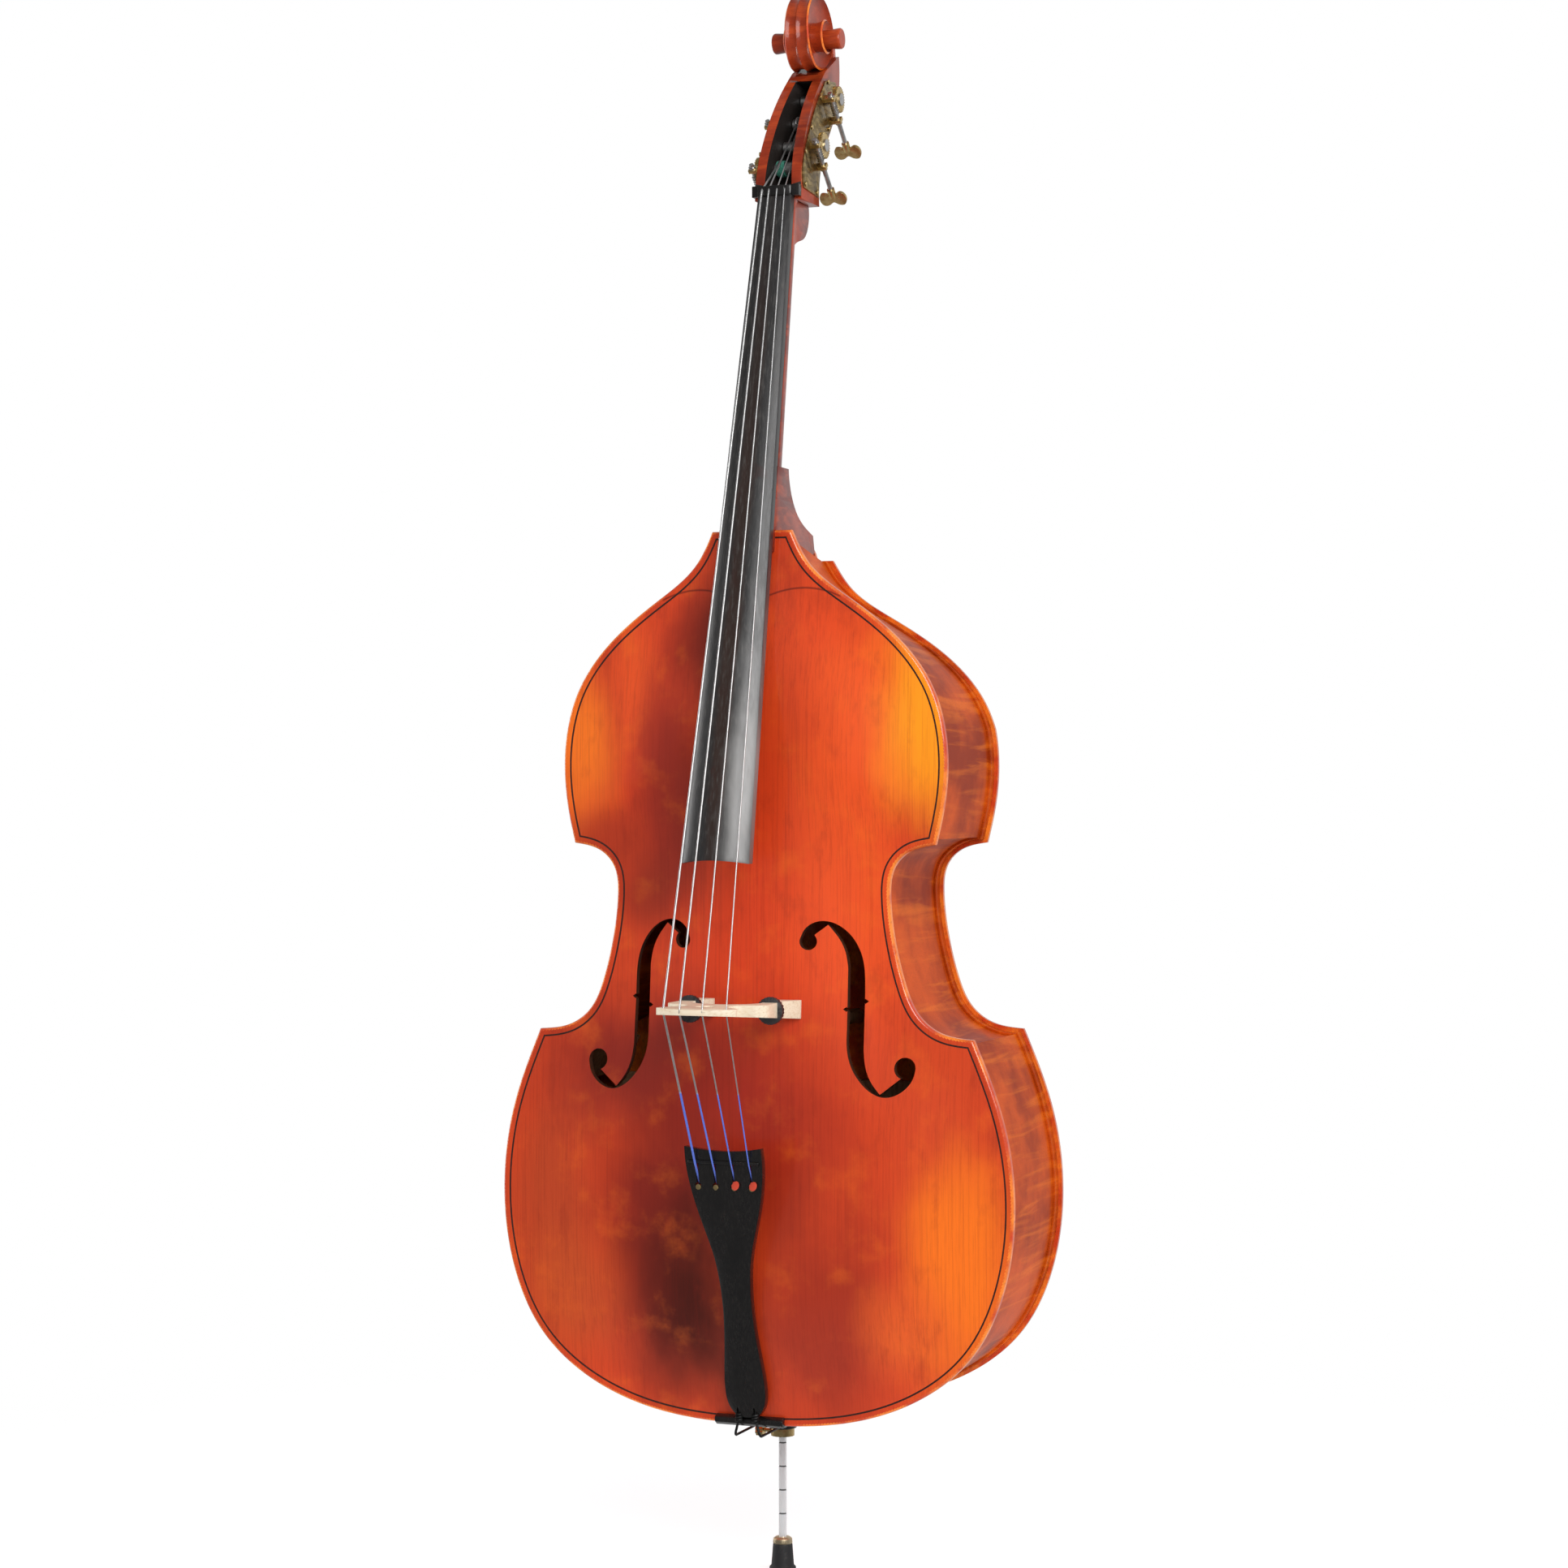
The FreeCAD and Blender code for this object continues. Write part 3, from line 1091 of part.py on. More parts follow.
def key(name):
    """Flat brass thumb key with two lobes, socketed on the end of the shaft."""
    socket = Part.makeCylinder(5.0, 12, Vector(0, 0, KEY_AT - 6))
    lobes = [(4, KEY_AT + 3), (15, KEY_AT + 1), (18, KEY_AT + 9), (14, KEY_AT + 18), (5, KEY_AT + 17),
             (0, KEY_AT + 14)]
    right = [Vector(-2, x, z) for x, z in lobes]
    left = [Vector(-2, -x, z) for x, z in lobes[::-1]]
    curve = Part.BSplineCurve()
    curve.interpolate(Points=right + left[1:], PeriodicFlag=True)
    blade = Part.Face(Part.Wire([curve.toShape()])).extrude(Vector(4, 0, 0))
    whole = socket.fuse(blade).cut(Part.makeCylinder(SHAFT_R, KEY_AT, Vector(0, 0, 0)))
    return set_along_shaft(whole, worm_centre(name))


def bracket_pair(name):
    """Two bearing blocks that stand on the plate and hold the worm shaft."""
    side = ROLLERS[name][0]
    centre = worm_centre(name)
    blocks = []
    for s in (-BRACKET_AT, BRACKET_AT):
        block = Part.makeBox(10, 14, BRACKET_LONG, Vector(-5, -7, s - BRACKET_LONG / 2))
        block = set_along_shaft(block, centre)
        foot = Part.makeBox(10, 20, BRACKET_LONG, Vector(-5, -10 - side * 6, s - BRACKET_LONG / 2))
        foot = set_along_shaft(foot, centre)
        bore = set_along_shaft(Part.makeCylinder(SHAFT_R + FIT, 60, Vector(0, 0, -30)), centre)
        cap = box(-GEAR_X - 5, GEAR_X + 5, -60, 260, 1400, 1900)
        blocks.append(block.fuse(foot).common(cap).cut(cheek_wedge(PLATE_THICK)).cut(bore))
    return blocks


def plate_blank():
    return side_block([PLATE_FRONT, PLATE_BACK], 60)


def screws():
    """Domed screws of both plates, head on the plate and shank in the cheek."""
    pieces = []
    for side in (-1, 1):
        for y, z in PLATE_SCREWS:
            x = cheek_half(z, PLATE_THICK)
            shank = rod((side * (x + 0.5), y, z), (side * (x - 10), y, z), 1.6)
            head = rod((side * (x - 2), y, z), (side * (x + 1.6), y, z), 3.2).cut(cheek_wedge(PLATE_THICK))
            pieces.append(shank.fuse(head))
    return pieces


def tuner_plates():
    plates = plate_blank().common(cheek_wedge(PLATE_THICK)).cut(cheek_wedge(0))
    for side, y, z, _ in ROLLERS.values():
        plates = plates.cut(rod((side * 10, y, z), (side * 60, y, z), JOURNAL_R + 0.3))
    for shape in screws():
        plates = plates.cut(shape)
    return plates


# ======== write every node ========
os.makedirs("parts", exist_ok=True)
build_body()
write("neck", neck())
write("fingerboard", fingerboard())
write("nut", nut())
write("bridge_top", bridge_top())
write("bridge_feet", *bridge_feet())
for side, label in ((-1, "left"), (1, "right")):
    write(f"bridge_adjuster_{label}", adjuster(side))
write("tailpiece", tailpiece())
write("tailpiece_fret", tailpiece_fret())
write("tail_cable", tube(cable_path(), CABLE_R))
write("endpin_plug", endpin_plug())
write("endpin_collar", endpin_collar())
write("endpin_thumbscrew", thumbscrew())
write("endpin_rod", endpin_rod())
write("endpin_ferrule", ferrule())
write("rubber_foot", rubber_foot())
for each in STRINGS:
    write(f"string_{each[0]}", string_tube(each, 0))
for letter in ROLLERS:
    write(f"roller_{letter}", roller(letter))
    write(f"gear_{letter}", gear(letter))
    write(f"winding_{letter}", winding(letter))
    write(f"worm_{letter}", worm(letter))
    write(f"key_{letter}", key(letter))
write("worm_brackets", *[block for letter in ROLLERS for block in bracket_pair(letter)])
write("tuner_plates", tuner_plates())
write("tuner_screws", *screws())
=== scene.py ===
import math

import bmesh
import bpy
import numpy as np
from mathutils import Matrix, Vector
from mathutils.geometry import delaunay_2d_cdt


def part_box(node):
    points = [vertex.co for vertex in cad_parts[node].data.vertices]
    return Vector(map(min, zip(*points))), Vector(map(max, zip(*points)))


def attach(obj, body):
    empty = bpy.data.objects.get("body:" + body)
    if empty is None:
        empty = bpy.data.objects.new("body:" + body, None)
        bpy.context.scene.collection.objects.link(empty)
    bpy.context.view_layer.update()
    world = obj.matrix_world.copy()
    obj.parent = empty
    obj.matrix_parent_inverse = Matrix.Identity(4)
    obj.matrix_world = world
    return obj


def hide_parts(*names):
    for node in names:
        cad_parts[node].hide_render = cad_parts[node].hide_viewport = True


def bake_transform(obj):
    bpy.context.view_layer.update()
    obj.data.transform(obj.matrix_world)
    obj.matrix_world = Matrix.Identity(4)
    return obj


# Double bass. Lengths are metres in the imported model's frame: +Z up, the front faces -Y.
# Outlines are written in millimetres, as (x, height over the body's bottom edge).

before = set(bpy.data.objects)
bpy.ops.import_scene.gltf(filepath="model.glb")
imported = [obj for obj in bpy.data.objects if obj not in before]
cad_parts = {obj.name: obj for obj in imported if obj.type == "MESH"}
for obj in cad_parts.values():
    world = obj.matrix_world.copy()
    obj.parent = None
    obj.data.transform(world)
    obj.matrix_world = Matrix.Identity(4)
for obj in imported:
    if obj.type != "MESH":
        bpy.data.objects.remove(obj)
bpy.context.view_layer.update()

MM = 0.001
BODY_BOTTOM = 215.0
BODY_LENGTH = 1110.0
Y_FRONT = -102.5          # where the front plate meets the ribs
Y_BACK = 102.5
PLATE = 9.3
HALF_WIDTH = 339.5
BACK_BREAK = 866.0        # above this the back leans forward
BACK_RISE = 0.8825        # height and depth gained along the leaning part, per length
BACK_LEAN = 0.2502
ARCH_RISE = 27.5
ARCH_RUN = 168.0
EDGE_FLAT = 13.0
EDGE_ROUND = 4.0
PURFLING = (8.4, 10.6)
RIM_STEPS = (0.5, 1.2, 2.2, 3.6, 5.5, *PURFLING, 12.5, 17)
RIM_CHANNEL = 10.5        # the shallow channel along the purfling: its middle, width and depth
RIM_CHANNEL_WIDE = 4.0
RIM_CHANNEL_DEEP = 0.9
CARVED_GRID = 9.0
FLAT_GRID = 30.0
BRIDGE_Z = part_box("bridge_top")[0].z + 0.012
SILK_TOP_Z = 0.640
RING_STEP = 0.030         # the grooves on the endpin's rod
RING_FIRST_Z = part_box("endpin_ferrule")[1].z + RING_STEP
MERGE = 2e-6              # points nearer than this are one
# where the strings rest on the nut
NUT_POINT = (0, -0.034, 1.755)
PEGBOX_LOW = 1.77         # the pegbox's opening: its ends, back, half width at the nut and taper
PEGBOX_HIGH = 1.926
PEGBOX_BACK = 0.125
PEGBOX_HALF = 0.0193
PEGBOX_TAPER = 0.045

LOWER_BOUT = [(0, 0), (115, 8), (216, 42.5), (286, 100), (325.5, 180), (339.5, 285), (325, 388), (288.5, 484.7)]
WAIST = [(288.5, 484.7), (245, 492.5), (217.5, 514), (202, 546), (188, 600), (181.3, 655), (187.5, 694),
         (205, 711.5), (240.2, 721)]
UPPER_BOUT = [(240.2, 721), (248.5, 757), (254.8, 812), (250.6, BACK_BREAK)]
SHOULDER = [(250.6, BACK_BREAK), (238.5, 907), (199, 966), (126, 1026), (73, 1071), (52.5, BODY_LENGTH)]
BREAK_TANGENT = (-0.19, 1)
BUTTON_HALF = 30.0
BUTTON_TALL = 34.0

F_OUTER_TOP = [(72.5, 602), (78.2, 616.5), (88, 624.6), (103.5, 627.3), (130.3, 614), (149, 581), (152.3, 545)]
F_INNER_LOW = [(152.7, 470), (156.4, 447), (164.6, 429.5), (175.1, 416.8)]
F_OUTER_LOW = [(217.3, 448.8), (215, 437.5), (207, 425), (194, 416), (180, 413.2), (164.6, 418.4), (149.9, 431.2),
               (138.5, 448.8), (132.5, 470), (131.6, 495)]
F_INNER_TOP = [(131.3, 570), (127.9, 589), (120.6, 605), (106.7, 622.6)]
F_UPPER_NOSE = (90.4, 610.1)
F_LOWER_NOSE = (198, 435.2)
F_EYES = [(83.1, 602.1, 10.6), (204.0, 448.8, 13.2)]
F_NICKS = [(153.2, 529.4), (130.2, 519.4)]


# ======== curves and outlines ========
def cubic(points, start=None, end=None, step=4.0):
    """Smooth curve through points, sampled about every step; start and end are optional directions."""
    p = np.array(points, float)
    h = np.hypot(*np.diff(p, axis=0).T)
    slope = np.diff(p, axis=0) / h[:, None]
    n = len(p)
    a = np.zeros((n, n))
    b = np.zeros((n, 2))
    a[0, 0] = a[-1, -1] = 1
    for i in range(1, n - 1):
        a[i, i - 1:i + 2] = h[i - 1], 2 * (h[i - 1] + h[i]), h[i]
        b[i] = 6 * (slope[i] - slope[i - 1])
    if start:
        a[0, :2] = 2 * h[0], h[0]
        b[0] = 6 * (slope[0] - np.array(start) / np.hypot(*start))
    if end:
        a[-1, -2:] = h[-1], 2 * h[-1]
        b[-1] = 6 * (np.array(end) / np.hypot(*end) - slope[-1])
    m = np.linalg.solve(a, b)
    out = []
    for i in range(n - 1):
        count = max(2, round(h[i] / step))
        for t in np.arange(count) * h[i] / count:
            s = h[i] - t
            out.append((m[i] * s ** 3 + m[i + 1] * t ** 3) / (6 * h[i]) + (p[i] / h[i] - m[i] * h[i] / 6) * s
                       + (p[i + 1] / h[i] - m[i + 1] * h[i] / 6) * t)
    return np.array(out + [p[-1]])


def arc(x, z, radius, first, last, count):
    angles = np.radians(np.linspace(first, last, count))
    return np.column_stack([x + radius * np.cos(angles), z + radius * np.sin(angles)])


def body_outline(button):
    """Closed outline of a plate, anticlockwise seen from the front, from the bottom centre."""
    right = np.vstack([cubic(LOWER_BOUT, start=(1, 0))[:-1], cubic(WAIST)[:-1],
                       cubic(UPPER_BOUT, end=BREAK_TANGENT)[:-1], cubic(SHOULDER, start=BREAK_TANGENT)])
    if button:
        radius = (BUTTON_HALF ** 2 + BUTTON_TALL ** 2) / (2 * BUTTON_TALL)
        centre = BODY_LENGTH + BUTTON_TALL - radius
        first = math.degrees(math.atan2(BODY_LENGTH - centre, BUTTON_HALF))
        right = np.vstack([right, [(40, BODY_LENGTH)], arc(0, centre, radius, first, 90, 10)])
    else:
        right = np.vstack([right, [(x, BODY_LENGTH) for x in (40, 25, 10, 0)]])
    left = right[::-1].copy()
    left[:, 0] *= -1
    return np.vstack([right[:-1], left[:-1]])


def to_segments(points, loop):
    """Distance from each point to a closed line."""
    a = loop
    d = np.roll(loop, -1, axis=0) - a
    length2 = (d ** 2).sum(1)
    out = np.empty(len(points))
    for i in range(0, len(points), 2000):
        p = points[i:i + 2000, None, :]
        t = np.clip(((p - a) * d).sum(2) / length2, 0, 1)
        out[i:i + 2000] = np.sqrt((((a + t[..., None] * d) - p) ** 2).sum(2).min(1))
    return out


def inside(points, loop):
    """Which points lie inside a closed line."""
    x, z = points[:, 0][:, None], points[:, 1][:, None]
    x0, z0 = loop.T
    x1, z1 = np.roll(loop, -1, axis=0).T
    with np.errstate(divide="ignore", invalid="ignore"):
        cross = ((z0 > z) != (z1 > z)) & (x < (x1 - x0) * (z - z0) / (z1 - z0) + x0)
    return cross.sum(1) % 2 == 1


def offset(loop, distance):
    """The closed line moved inwards with mitred corners, without the points that come too near the line."""
    d = np.roll(loop, -1, axis=0) - loop
    normal = np.column_stack([-d[:, 1], d[:, 0]]) / np.hypot(*d.T)[:, None]
    before = np.roll(normal, 1, axis=0)
    bisector = normal + before
    bisector /= np.hypot(*bisector.T)[:, None]
    reach = distance / np.maximum((bisector * normal).sum(1), 0.35)
    moved = loop + bisector * reach[:, None]
    return moved[to_segments(moved, loop) > distance * 0.985]


def arch(points, away):
    """Height of the carved front above its flat rim."""
    t = np.clip((away - EDGE_FLAT) / (ARCH_RUN - EDGE_FLAT), 0, 1)
    crown = 1 - 0.5 * (points[:, 0] / HALF_WIDTH) ** 2 - 0.12 * ((points[:, 1] - 540) / (BODY_LENGTH / 2)) ** 2
    return ARCH_RISE * (0.5 - 0.5 * np.cos(np.pi * t ** 0.85)) * crown


def rim(away):
    """Rounded, slightly raised edge of a plate with a shallow channel along the purfling."""
    rounding = EDGE_ROUND * (1 - np.sqrt(np.clip(1 - (1 - np.clip(away / EDGE_ROUND, 0, 1)) ** 2, 0, 1)))
    channel = RIM_CHANNEL_DEEP * np.exp(-((away - RIM_CHANNEL) / RIM_CHANNEL_WIDE) ** 2)
    return PLATE - rounding - channel


def front_place(x, z, h):
    """A point h outside the front plate's inner face, in metres."""
    return (x * MM, (Y_FRONT - h) * MM, (z + BODY_BOTTOM) * MM)


def back_place(x, z, h):
    """A point h outside the back plate's inner face, which bends forward above the break, in metres."""
    above = max(z - BACK_BREAK, 0.0)
    return (x * MM, (Y_BACK + h - BACK_LEAN * above) * MM, (z - (1 - BACK_RISE) * above + BODY_BOTTOM) * MM)


# ======== mesh helpers ========
def new_piece(name, mesh, body, *materials):
    piece = bpy.data.objects.new(name, mesh)
    bpy.context.scene.collection.objects.link(piece)
    for material in materials:
        mesh.materials.append(material)
    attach(piece, body)
    return piece


def smooth(mesh, degrees=35):
    """Smooth shading, with edges sharper than this left sharp."""
    mesh.shade_smooth()
    mesh.set_sharp_from_angle(angle=math.radians(degrees))


def plate(name, outline, holes, carved, place, materials):
    """A plate with a rounded rim; materials are varnish, purfling, edge and hole wall."""
    varnish_slot, purfling_slot, edge_slot, wall_slot = range(4)
    loops = [outline] + [offset(outline, d) for d in RIM_STEPS] + holes
    points = np.vstack(loops)
    edges = []
    first = 0
    for loop in loops:
        count = len(loop)
        edges += [(first + i, first + (i + 1) % count) for i in range(count)]
        first += count
    step = CARVED_GRID if carved else FLAT_GRID
    xs, zs = np.meshgrid(np.arange(-335, 336, step), np.arange(10, BODY_LENGTH, step))
    grid = np.column_stack([xs.ravel(), zs.ravel()])
    grid = grid[inside(grid, outline) & (to_segments(grid, outline) > 20)]
    for hole in holes:
        grid = grid[to_segments(grid, hole) > 3]
    points = np.vstack([points, grid])
    result = delaunay_2d_cdt([Vector(p) for p in points], edges, [], 0, 1e-4)
    flat = np.array([tuple(v) for v in result[0]])
    triangles = np.array([f for f in result[2] if len(f) == 3])
    middles = flat[triangles].mean(1)
    keep = inside(middles, outline)
    for hole in holes:
        keep &= ~inside(middles, hole)
    triangles, middles = triangles[keep], middles[keep]

    away = to_segments(flat, outline)
    swell = arch(flat, away) if carved else np.zeros(len(flat))
    high = rim(away) + swell
    n = len(flat)
    vertices = [place(*p, h) for p, h in zip(flat, high)] + [place(*p, h) for p, h in zip(flat, swell)]
    faces_back = place(0, 0, 1)[1] > place(0, 0, 0)[1]
    outer = triangles[:, ::-1] if faces_back else triangles
    faces = [tuple(f) for f in outer] + [tuple(f[::-1] + n) for f in outer]
    slots = [edge_slot if d < 3.0 else purfling_slot if PURFLING[0] < d < PURFLING[1] else varnish_slot
             for d in to_segments(middles, outline)]
    slots += [edge_slot] * len(outer)
    directed = dict.fromkeys((a, b) for f in outer for a, b in zip(f, np.roll(f, -1)))
    for a, b in directed:
        if (b, a) not in directed:
            faces.append((a, a + n, b + n, b))
            slots.append(edge_slot if away[a] < 1 else wall_slot)
    mesh = bpy.data.meshes.new(name)
    mesh.from_pydata(vertices, [], [[int(i) for i in f] for f in faces])
    mesh.polygons.foreach_set("material_index", slots)
    smooth(mesh, 50)
    return new_piece(name, mesh, "bass", *materials)


def join_rings(bm, rings):
    """Faces between rings of as many points each."""
    for before, after in zip(rings, rings[1:]):
        for i in range(len(before)):
            j = (i + 1) % len(before)
            bm.faces.new((before[i], before[j], after[j], after[i]))


def copied(node):
    """An editable copy of the CAD node's mesh, with doubled points merged."""
    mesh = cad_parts[node].data.copy()
    bm = bmesh.new()
    bm.from_mesh(mesh)
    bmesh.ops.remove_doubles(bm, verts=bm.verts, dist=MERGE)
    mesh.materials.clear()
    return mesh, bm


def softened(node, width, material, segments=2, body="bass", edit=None):
    """Stands for a CAD node, with its edges rounded by width."""
    mesh, bm = copied(node)
    bmesh.ops.dissolve_limit(bm, angle_limit=math.radians(1.0), verts=bm.verts, edges=bm.edges)
    if edit:
        edit(bm)
    for face in bm.faces:
        face.material_index = 0
    bm.to_mesh(mesh)
    bm.free()
    piece = bpy.data.objects.new(node + "_shape", mesh)
    bpy.context.scene.collection.objects.link(piece)
    bevel = piece.modifiers.new("edges", "BEVEL")
    bevel.width = width
    bevel.segments = segments
    bevel.limit_method = "ANGLE"
    bevel.angle_limit = math.radians(40)
    bevel.use_clamp_overlap = True
    bevel.miter_outer = "MITER_ARC"
    bpy.context.view_layer.update()
    rounded = bpy.data.meshes.new_from_object(piece.evaluated_get(bpy.context.evaluated_depsgraph_get()))
    piece.modifiers.clear()
    piece.data = rounded
    rounded.materials.append(material)
    smooth(rounded)
    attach(piece, body)
    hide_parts(node)
    return piece


def tube(name, points, radius, body, material):
    """Round tube through points, as a mesh."""
    curve = bpy.data.curves.new(name, "CURVE")
    curve.dimensions = "3D"
    curve.bevel_depth = radius
    curve.bevel_resolution = 4
    curve.use_fill_caps = True
    line = curve.splines.new("POLY")
    line.points.add(len(points) - 1)
    for point, p in zip(line.points, points):
        point.co = (*p, 1)
    holder = bpy.data.objects.new(name, curve)
    mesh = bpy.data.meshes.new_from_object(holder)
    bpy.data.objects.remove(holder)
    mesh.shade_smooth()
    return new_piece(name, mesh, body, material)


# ======== material helpers ========
class Paint:
    """A material's node tree; coordinates are the object's own, in metres."""

    def __init__(self, name):
        self.material = bpy.data.materials.new(name)
        self.material.use_nodes = True
        self.tree = self.material.node_tree
        self.shader = self.tree.nodes["Principled BSDF"]
        place = self.tree.nodes.new("ShaderNodeTexCoord")
        self.place = place.outputs["Object"]
        split = self.node("ShaderNodeSeparateXYZ", self.place)
        self.x, self.y, self.z = split.outputs

    def node(self, kind, *inputs, **settings):
        node = self.tree.nodes.new(kind)
        for key, value in settings.items():
            setattr(node, key, value)
        for socket, value in zip(node.inputs, inputs):
            self.give(socket, value)
        return node

    def give(self, socket, value):
        if isinstance(value, bpy.types.NodeSocket):
            self.tree.links.new(value, socket)
        else:
            socket.default_value = value

    def math(self, operation, *inputs):
        return self.node("ShaderNodeMath", *inputs, operation=operation).outputs[0]

    def stretched(self, x, y, z):
        return self.node("ShaderNodeVectorMath", self.place, (x, y, z), operation="MULTIPLY").outputs[0]

    def noise(self, scale, detail=3.0, rough=0.55, stretch=(1, 1, 1), warp=0.0):
        node = self.node("ShaderNodeTexNoise")
        self.give(node.inputs["Vector"], self.stretched(*stretch))
        node.inputs["Scale"].default_value = scale
        node.inputs["Detail"].default_value = detail
        node.inputs["Roughness"].default_value = rough
        node.inputs["Distortion"].default_value = warp
        return node.outputs["Fac"]

    def range(self, value, low, high, to_low=0.0, to_high=1.0):
        node = self.node("ShaderNodeMapRange", value, low, high, to_low, to_high, interpolation_type="SMOOTHSTEP")
        return node.outputs[0]

    def mix(self, share, first, second, blend="MIX"):
        node = self.tree.nodes.new("ShaderNodeMix")
        node.data_type = "RGBA"
        node.blend_type = blend
        self.give(node.inputs[0], share)
        for socket, value in ((node.inputs[6], first), (node.inputs[7], second)):
            self.give(socket, value if isinstance(value, bpy.types.NodeSocket) else (*value, 1))
        return node.outputs[2]

    def blob(self, x, z, radius_x, radius_z, warp):
        """Soft patch: 1 in the middle, 0 beyond its radii, with a wandering border."""
        dx = self.math("DIVIDE", self.math("SUBTRACT", self.x, x), radius_x)
        dz = self.math("DIVIDE", self.math("SUBTRACT", self.z, z), radius_z)
        square = self.math("ADD", self.math("MULTIPLY", dx, dx), self.math("MULTIPLY", dz, dz))
        far = self.math("ADD", self.math("SQRT", square), self.math("MULTIPLY_ADD", warp, 0.9, -0.45))
        return self.range(far, 0.15, 1.0, 1.0, 0.0)

    def bump(self, height, strength, distance=0.001):
        node = self.node("ShaderNodeBump")
        node.inputs["Strength"].default_value = strength
        node.inputs["Distance"].default_value = distance
        self.give(node.inputs["Height"], height)
        return node.outputs["Normal"]

    def finish(self, colour, rough, normal=None, metal=0.0, coat=0.0, coat_rough=0.05, sheen=0.0, specular=0.5):
        s = self.shader.inputs
        self.give(s["Base Color"], colour if isinstance(colour, bpy.types.NodeSocket) else (*colour, 1))
        self.give(s["Roughness"], rough)
        s["Metallic"].default_value = metal
        s["Coat Weight"].default_value = coat
        s["Coat Roughness"].default_value = coat_rough
        s["Sheen Weight"].default_value = sheen
        s["Specular IOR Level"].default_value = specular
        if normal is not None:
            self.give(s["Normal"], normal)
        return self.material


# ======== materials ========
# patches of the front's varnish colour, among them painted shadows left of the fingerboard and left of the
# tailpiece, and painted highlights at the right edges of the upper and lower bouts: x, height over the floor, radii,
# colour, strength
FRONT_TONES_AND_PAINTED_LIGHT = [
    (0.00, 0.95, 0.30, 0.50, (0.68, 0.046, 0.008), 0.75),
    (0.13, 0.90, 0.12, 0.30, (0.84, 0.082, 0.010), 0.9),
    (0.16, 1.12, 0.16, 0.20, (0.86, 0.095, 0.008), 0.8),
    # painted highlight where the arch turns towards the light, at the right edge of the upper bout
    (0.235, 1.09, 0.095, 0.20, (0.98, 0.30, 0.004), 1.0),
    (-0.225, 1.07, 0.075, 0.15, (0.92, 0.17, 0.008), 1.0),
    (-0.155, 1.14, 0.05, 0.12, (0.78, 0.080, 0.010), 0.9),
    # painted shadow of the fingerboard on the belly left of it: this patch and the next
    (-0.10, 1.02, 0.07, 0.24, (0.29, 0.018, 0.007), 0.95),
    (-0.05, 1.19, 0.08, 0.10, (0.20, 0.012, 0.004), 0.85),
    (0.085, 1.21, 0.10, 0.06, (0.74, 0.060, 0.008), 0.7),
    (-0.19, 0.94, 0.07, 0.06, (0.40, 0.032, 0.008), 0.8),
    (-0.14, 0.87, 0.06, 0.07, (0.27, 0.020, 0.006), 0.7),
    (-0.12, 0.66, 0.24, 0.15, (0.25, 0.014, 0.006), 0.95),
    (0.02, 0.60, 0.16, 0.20, (0.34, 0.018, 0.007), 0.85),
    (-0.12, 0.50, 0.15, 0.13, (0.19, 0.010, 0.005), 0.9),
    # painted shadow of the tailpiece on the belly left of it: this patch and the next
    (-0.09, 0.37, 0.13, 0.19, (0.13, 0.008, 0.003), 0.95),
    (-0.065, 0.37, 0.075, 0.15, (0.05, 0.004, 0.001), 0.9),
    (-0.26, 0.49, 0.10, 0.16, (0.48, 0.052, 0.010), 0.85),
    (-0.24, 0.37, 0.10, 0.13, (0.54, 0.068, 0.010), 0.8),
    (0.10, 0.36, 0.14, 0.22, (0.33, 0.022, 0.006), 0.85),
    (0.245, 0.60, 0.09, 0.22, (0.62, 0.056, 0.009), 0.75),
    # painted highlight where the arch turns towards the light, at the right edge of the lower bout
    (0.275, 0.42, 0.095, 0.20, (0.90, 0.16, 0.005), 1.0),
    (0.21, 0.34, 0.08, 0.10, (0.78, 0.11, 0.010), 0.8),
]


def spruce_varnish():
    p = Paint("front_varnish")
    warp = p.noise(9.0, 4.0, stretch=(1, 1, 0.55))
    colour = (0.62, 0.050, 0.008)
    # the patches mixed in here include painted shadows and painted highlights
    for x, z, rx, rz, patch, strength in FRONT_TONES_AND_PAINTED_LIGHT:
        share = p.math("MULTIPLY", p.blob(x, z, rx, rz, warp), strength)
        colour = p.mix(share, colour, patch)
    rings = p.noise(420.0, 2.0, 0.6, stretch=(1, 0.3, 0.012))
    fine = p.noise(1500.0, 2.0, 0.6, stretch=(1, 0.3, 0.02))
    grain = p.math("ADD", p.math("MULTIPLY", rings, 0.6), p.math("MULTIPLY", fine, 0.4))
    colour = p.mix(p.range(grain, 0.44, 0.68, 0.0, 0.24), colour, (0.16, 0.008, 0.002))
    cloud = p.noise(16.0, 5.0, 0.6)
    colour = p.mix(p.range(cloud, 0.5, 0.75, 0.0, 0.24), colour, (0.95, 0.17, 0.008))
    mottle = p.noise(30.0, 5.0, 0.65, stretch=(1, 1, 0.45))
    colour = p.mix(p.range(mottle, 0.52, 0.74, 0.0, 0.30), colour, (0.28, 0.018, 0.005))
    # a fine dark line bowed across the shoulders, under the fingerboard's overhang
    side = p.math("ABSOLUTE", p.x)
    line = p.math("DIVIDE", p.math("SUBTRACT", side, 0.070), 0.045)
    height = p.math("MULTIPLY_ADD", p.math("MULTIPLY", line, line), -0.010, 1.2525)
    gap = p.math("ABSOLUTE", p.math("SUBTRACT", p.z, height))
    mark = p.math("MULTIPLY", p.range(gap, 0.0, 0.0022, 0.75, 0.0), p.range(side, 0.116, 0.121, 1.0, 0.0))
    colour = p.mix(mark, colour, (0.10, 0.008, 0.003))
    ripple = p.bump(p.math("ADD", grain, p.math("MULTIPLY", p.noise(35.0, 2.0), 0.9)), 0.10, 0.0006)
    return p.finish(colour, 0.40, ripple, coat=0.5, coat_rough=0.12, specular=0.25)


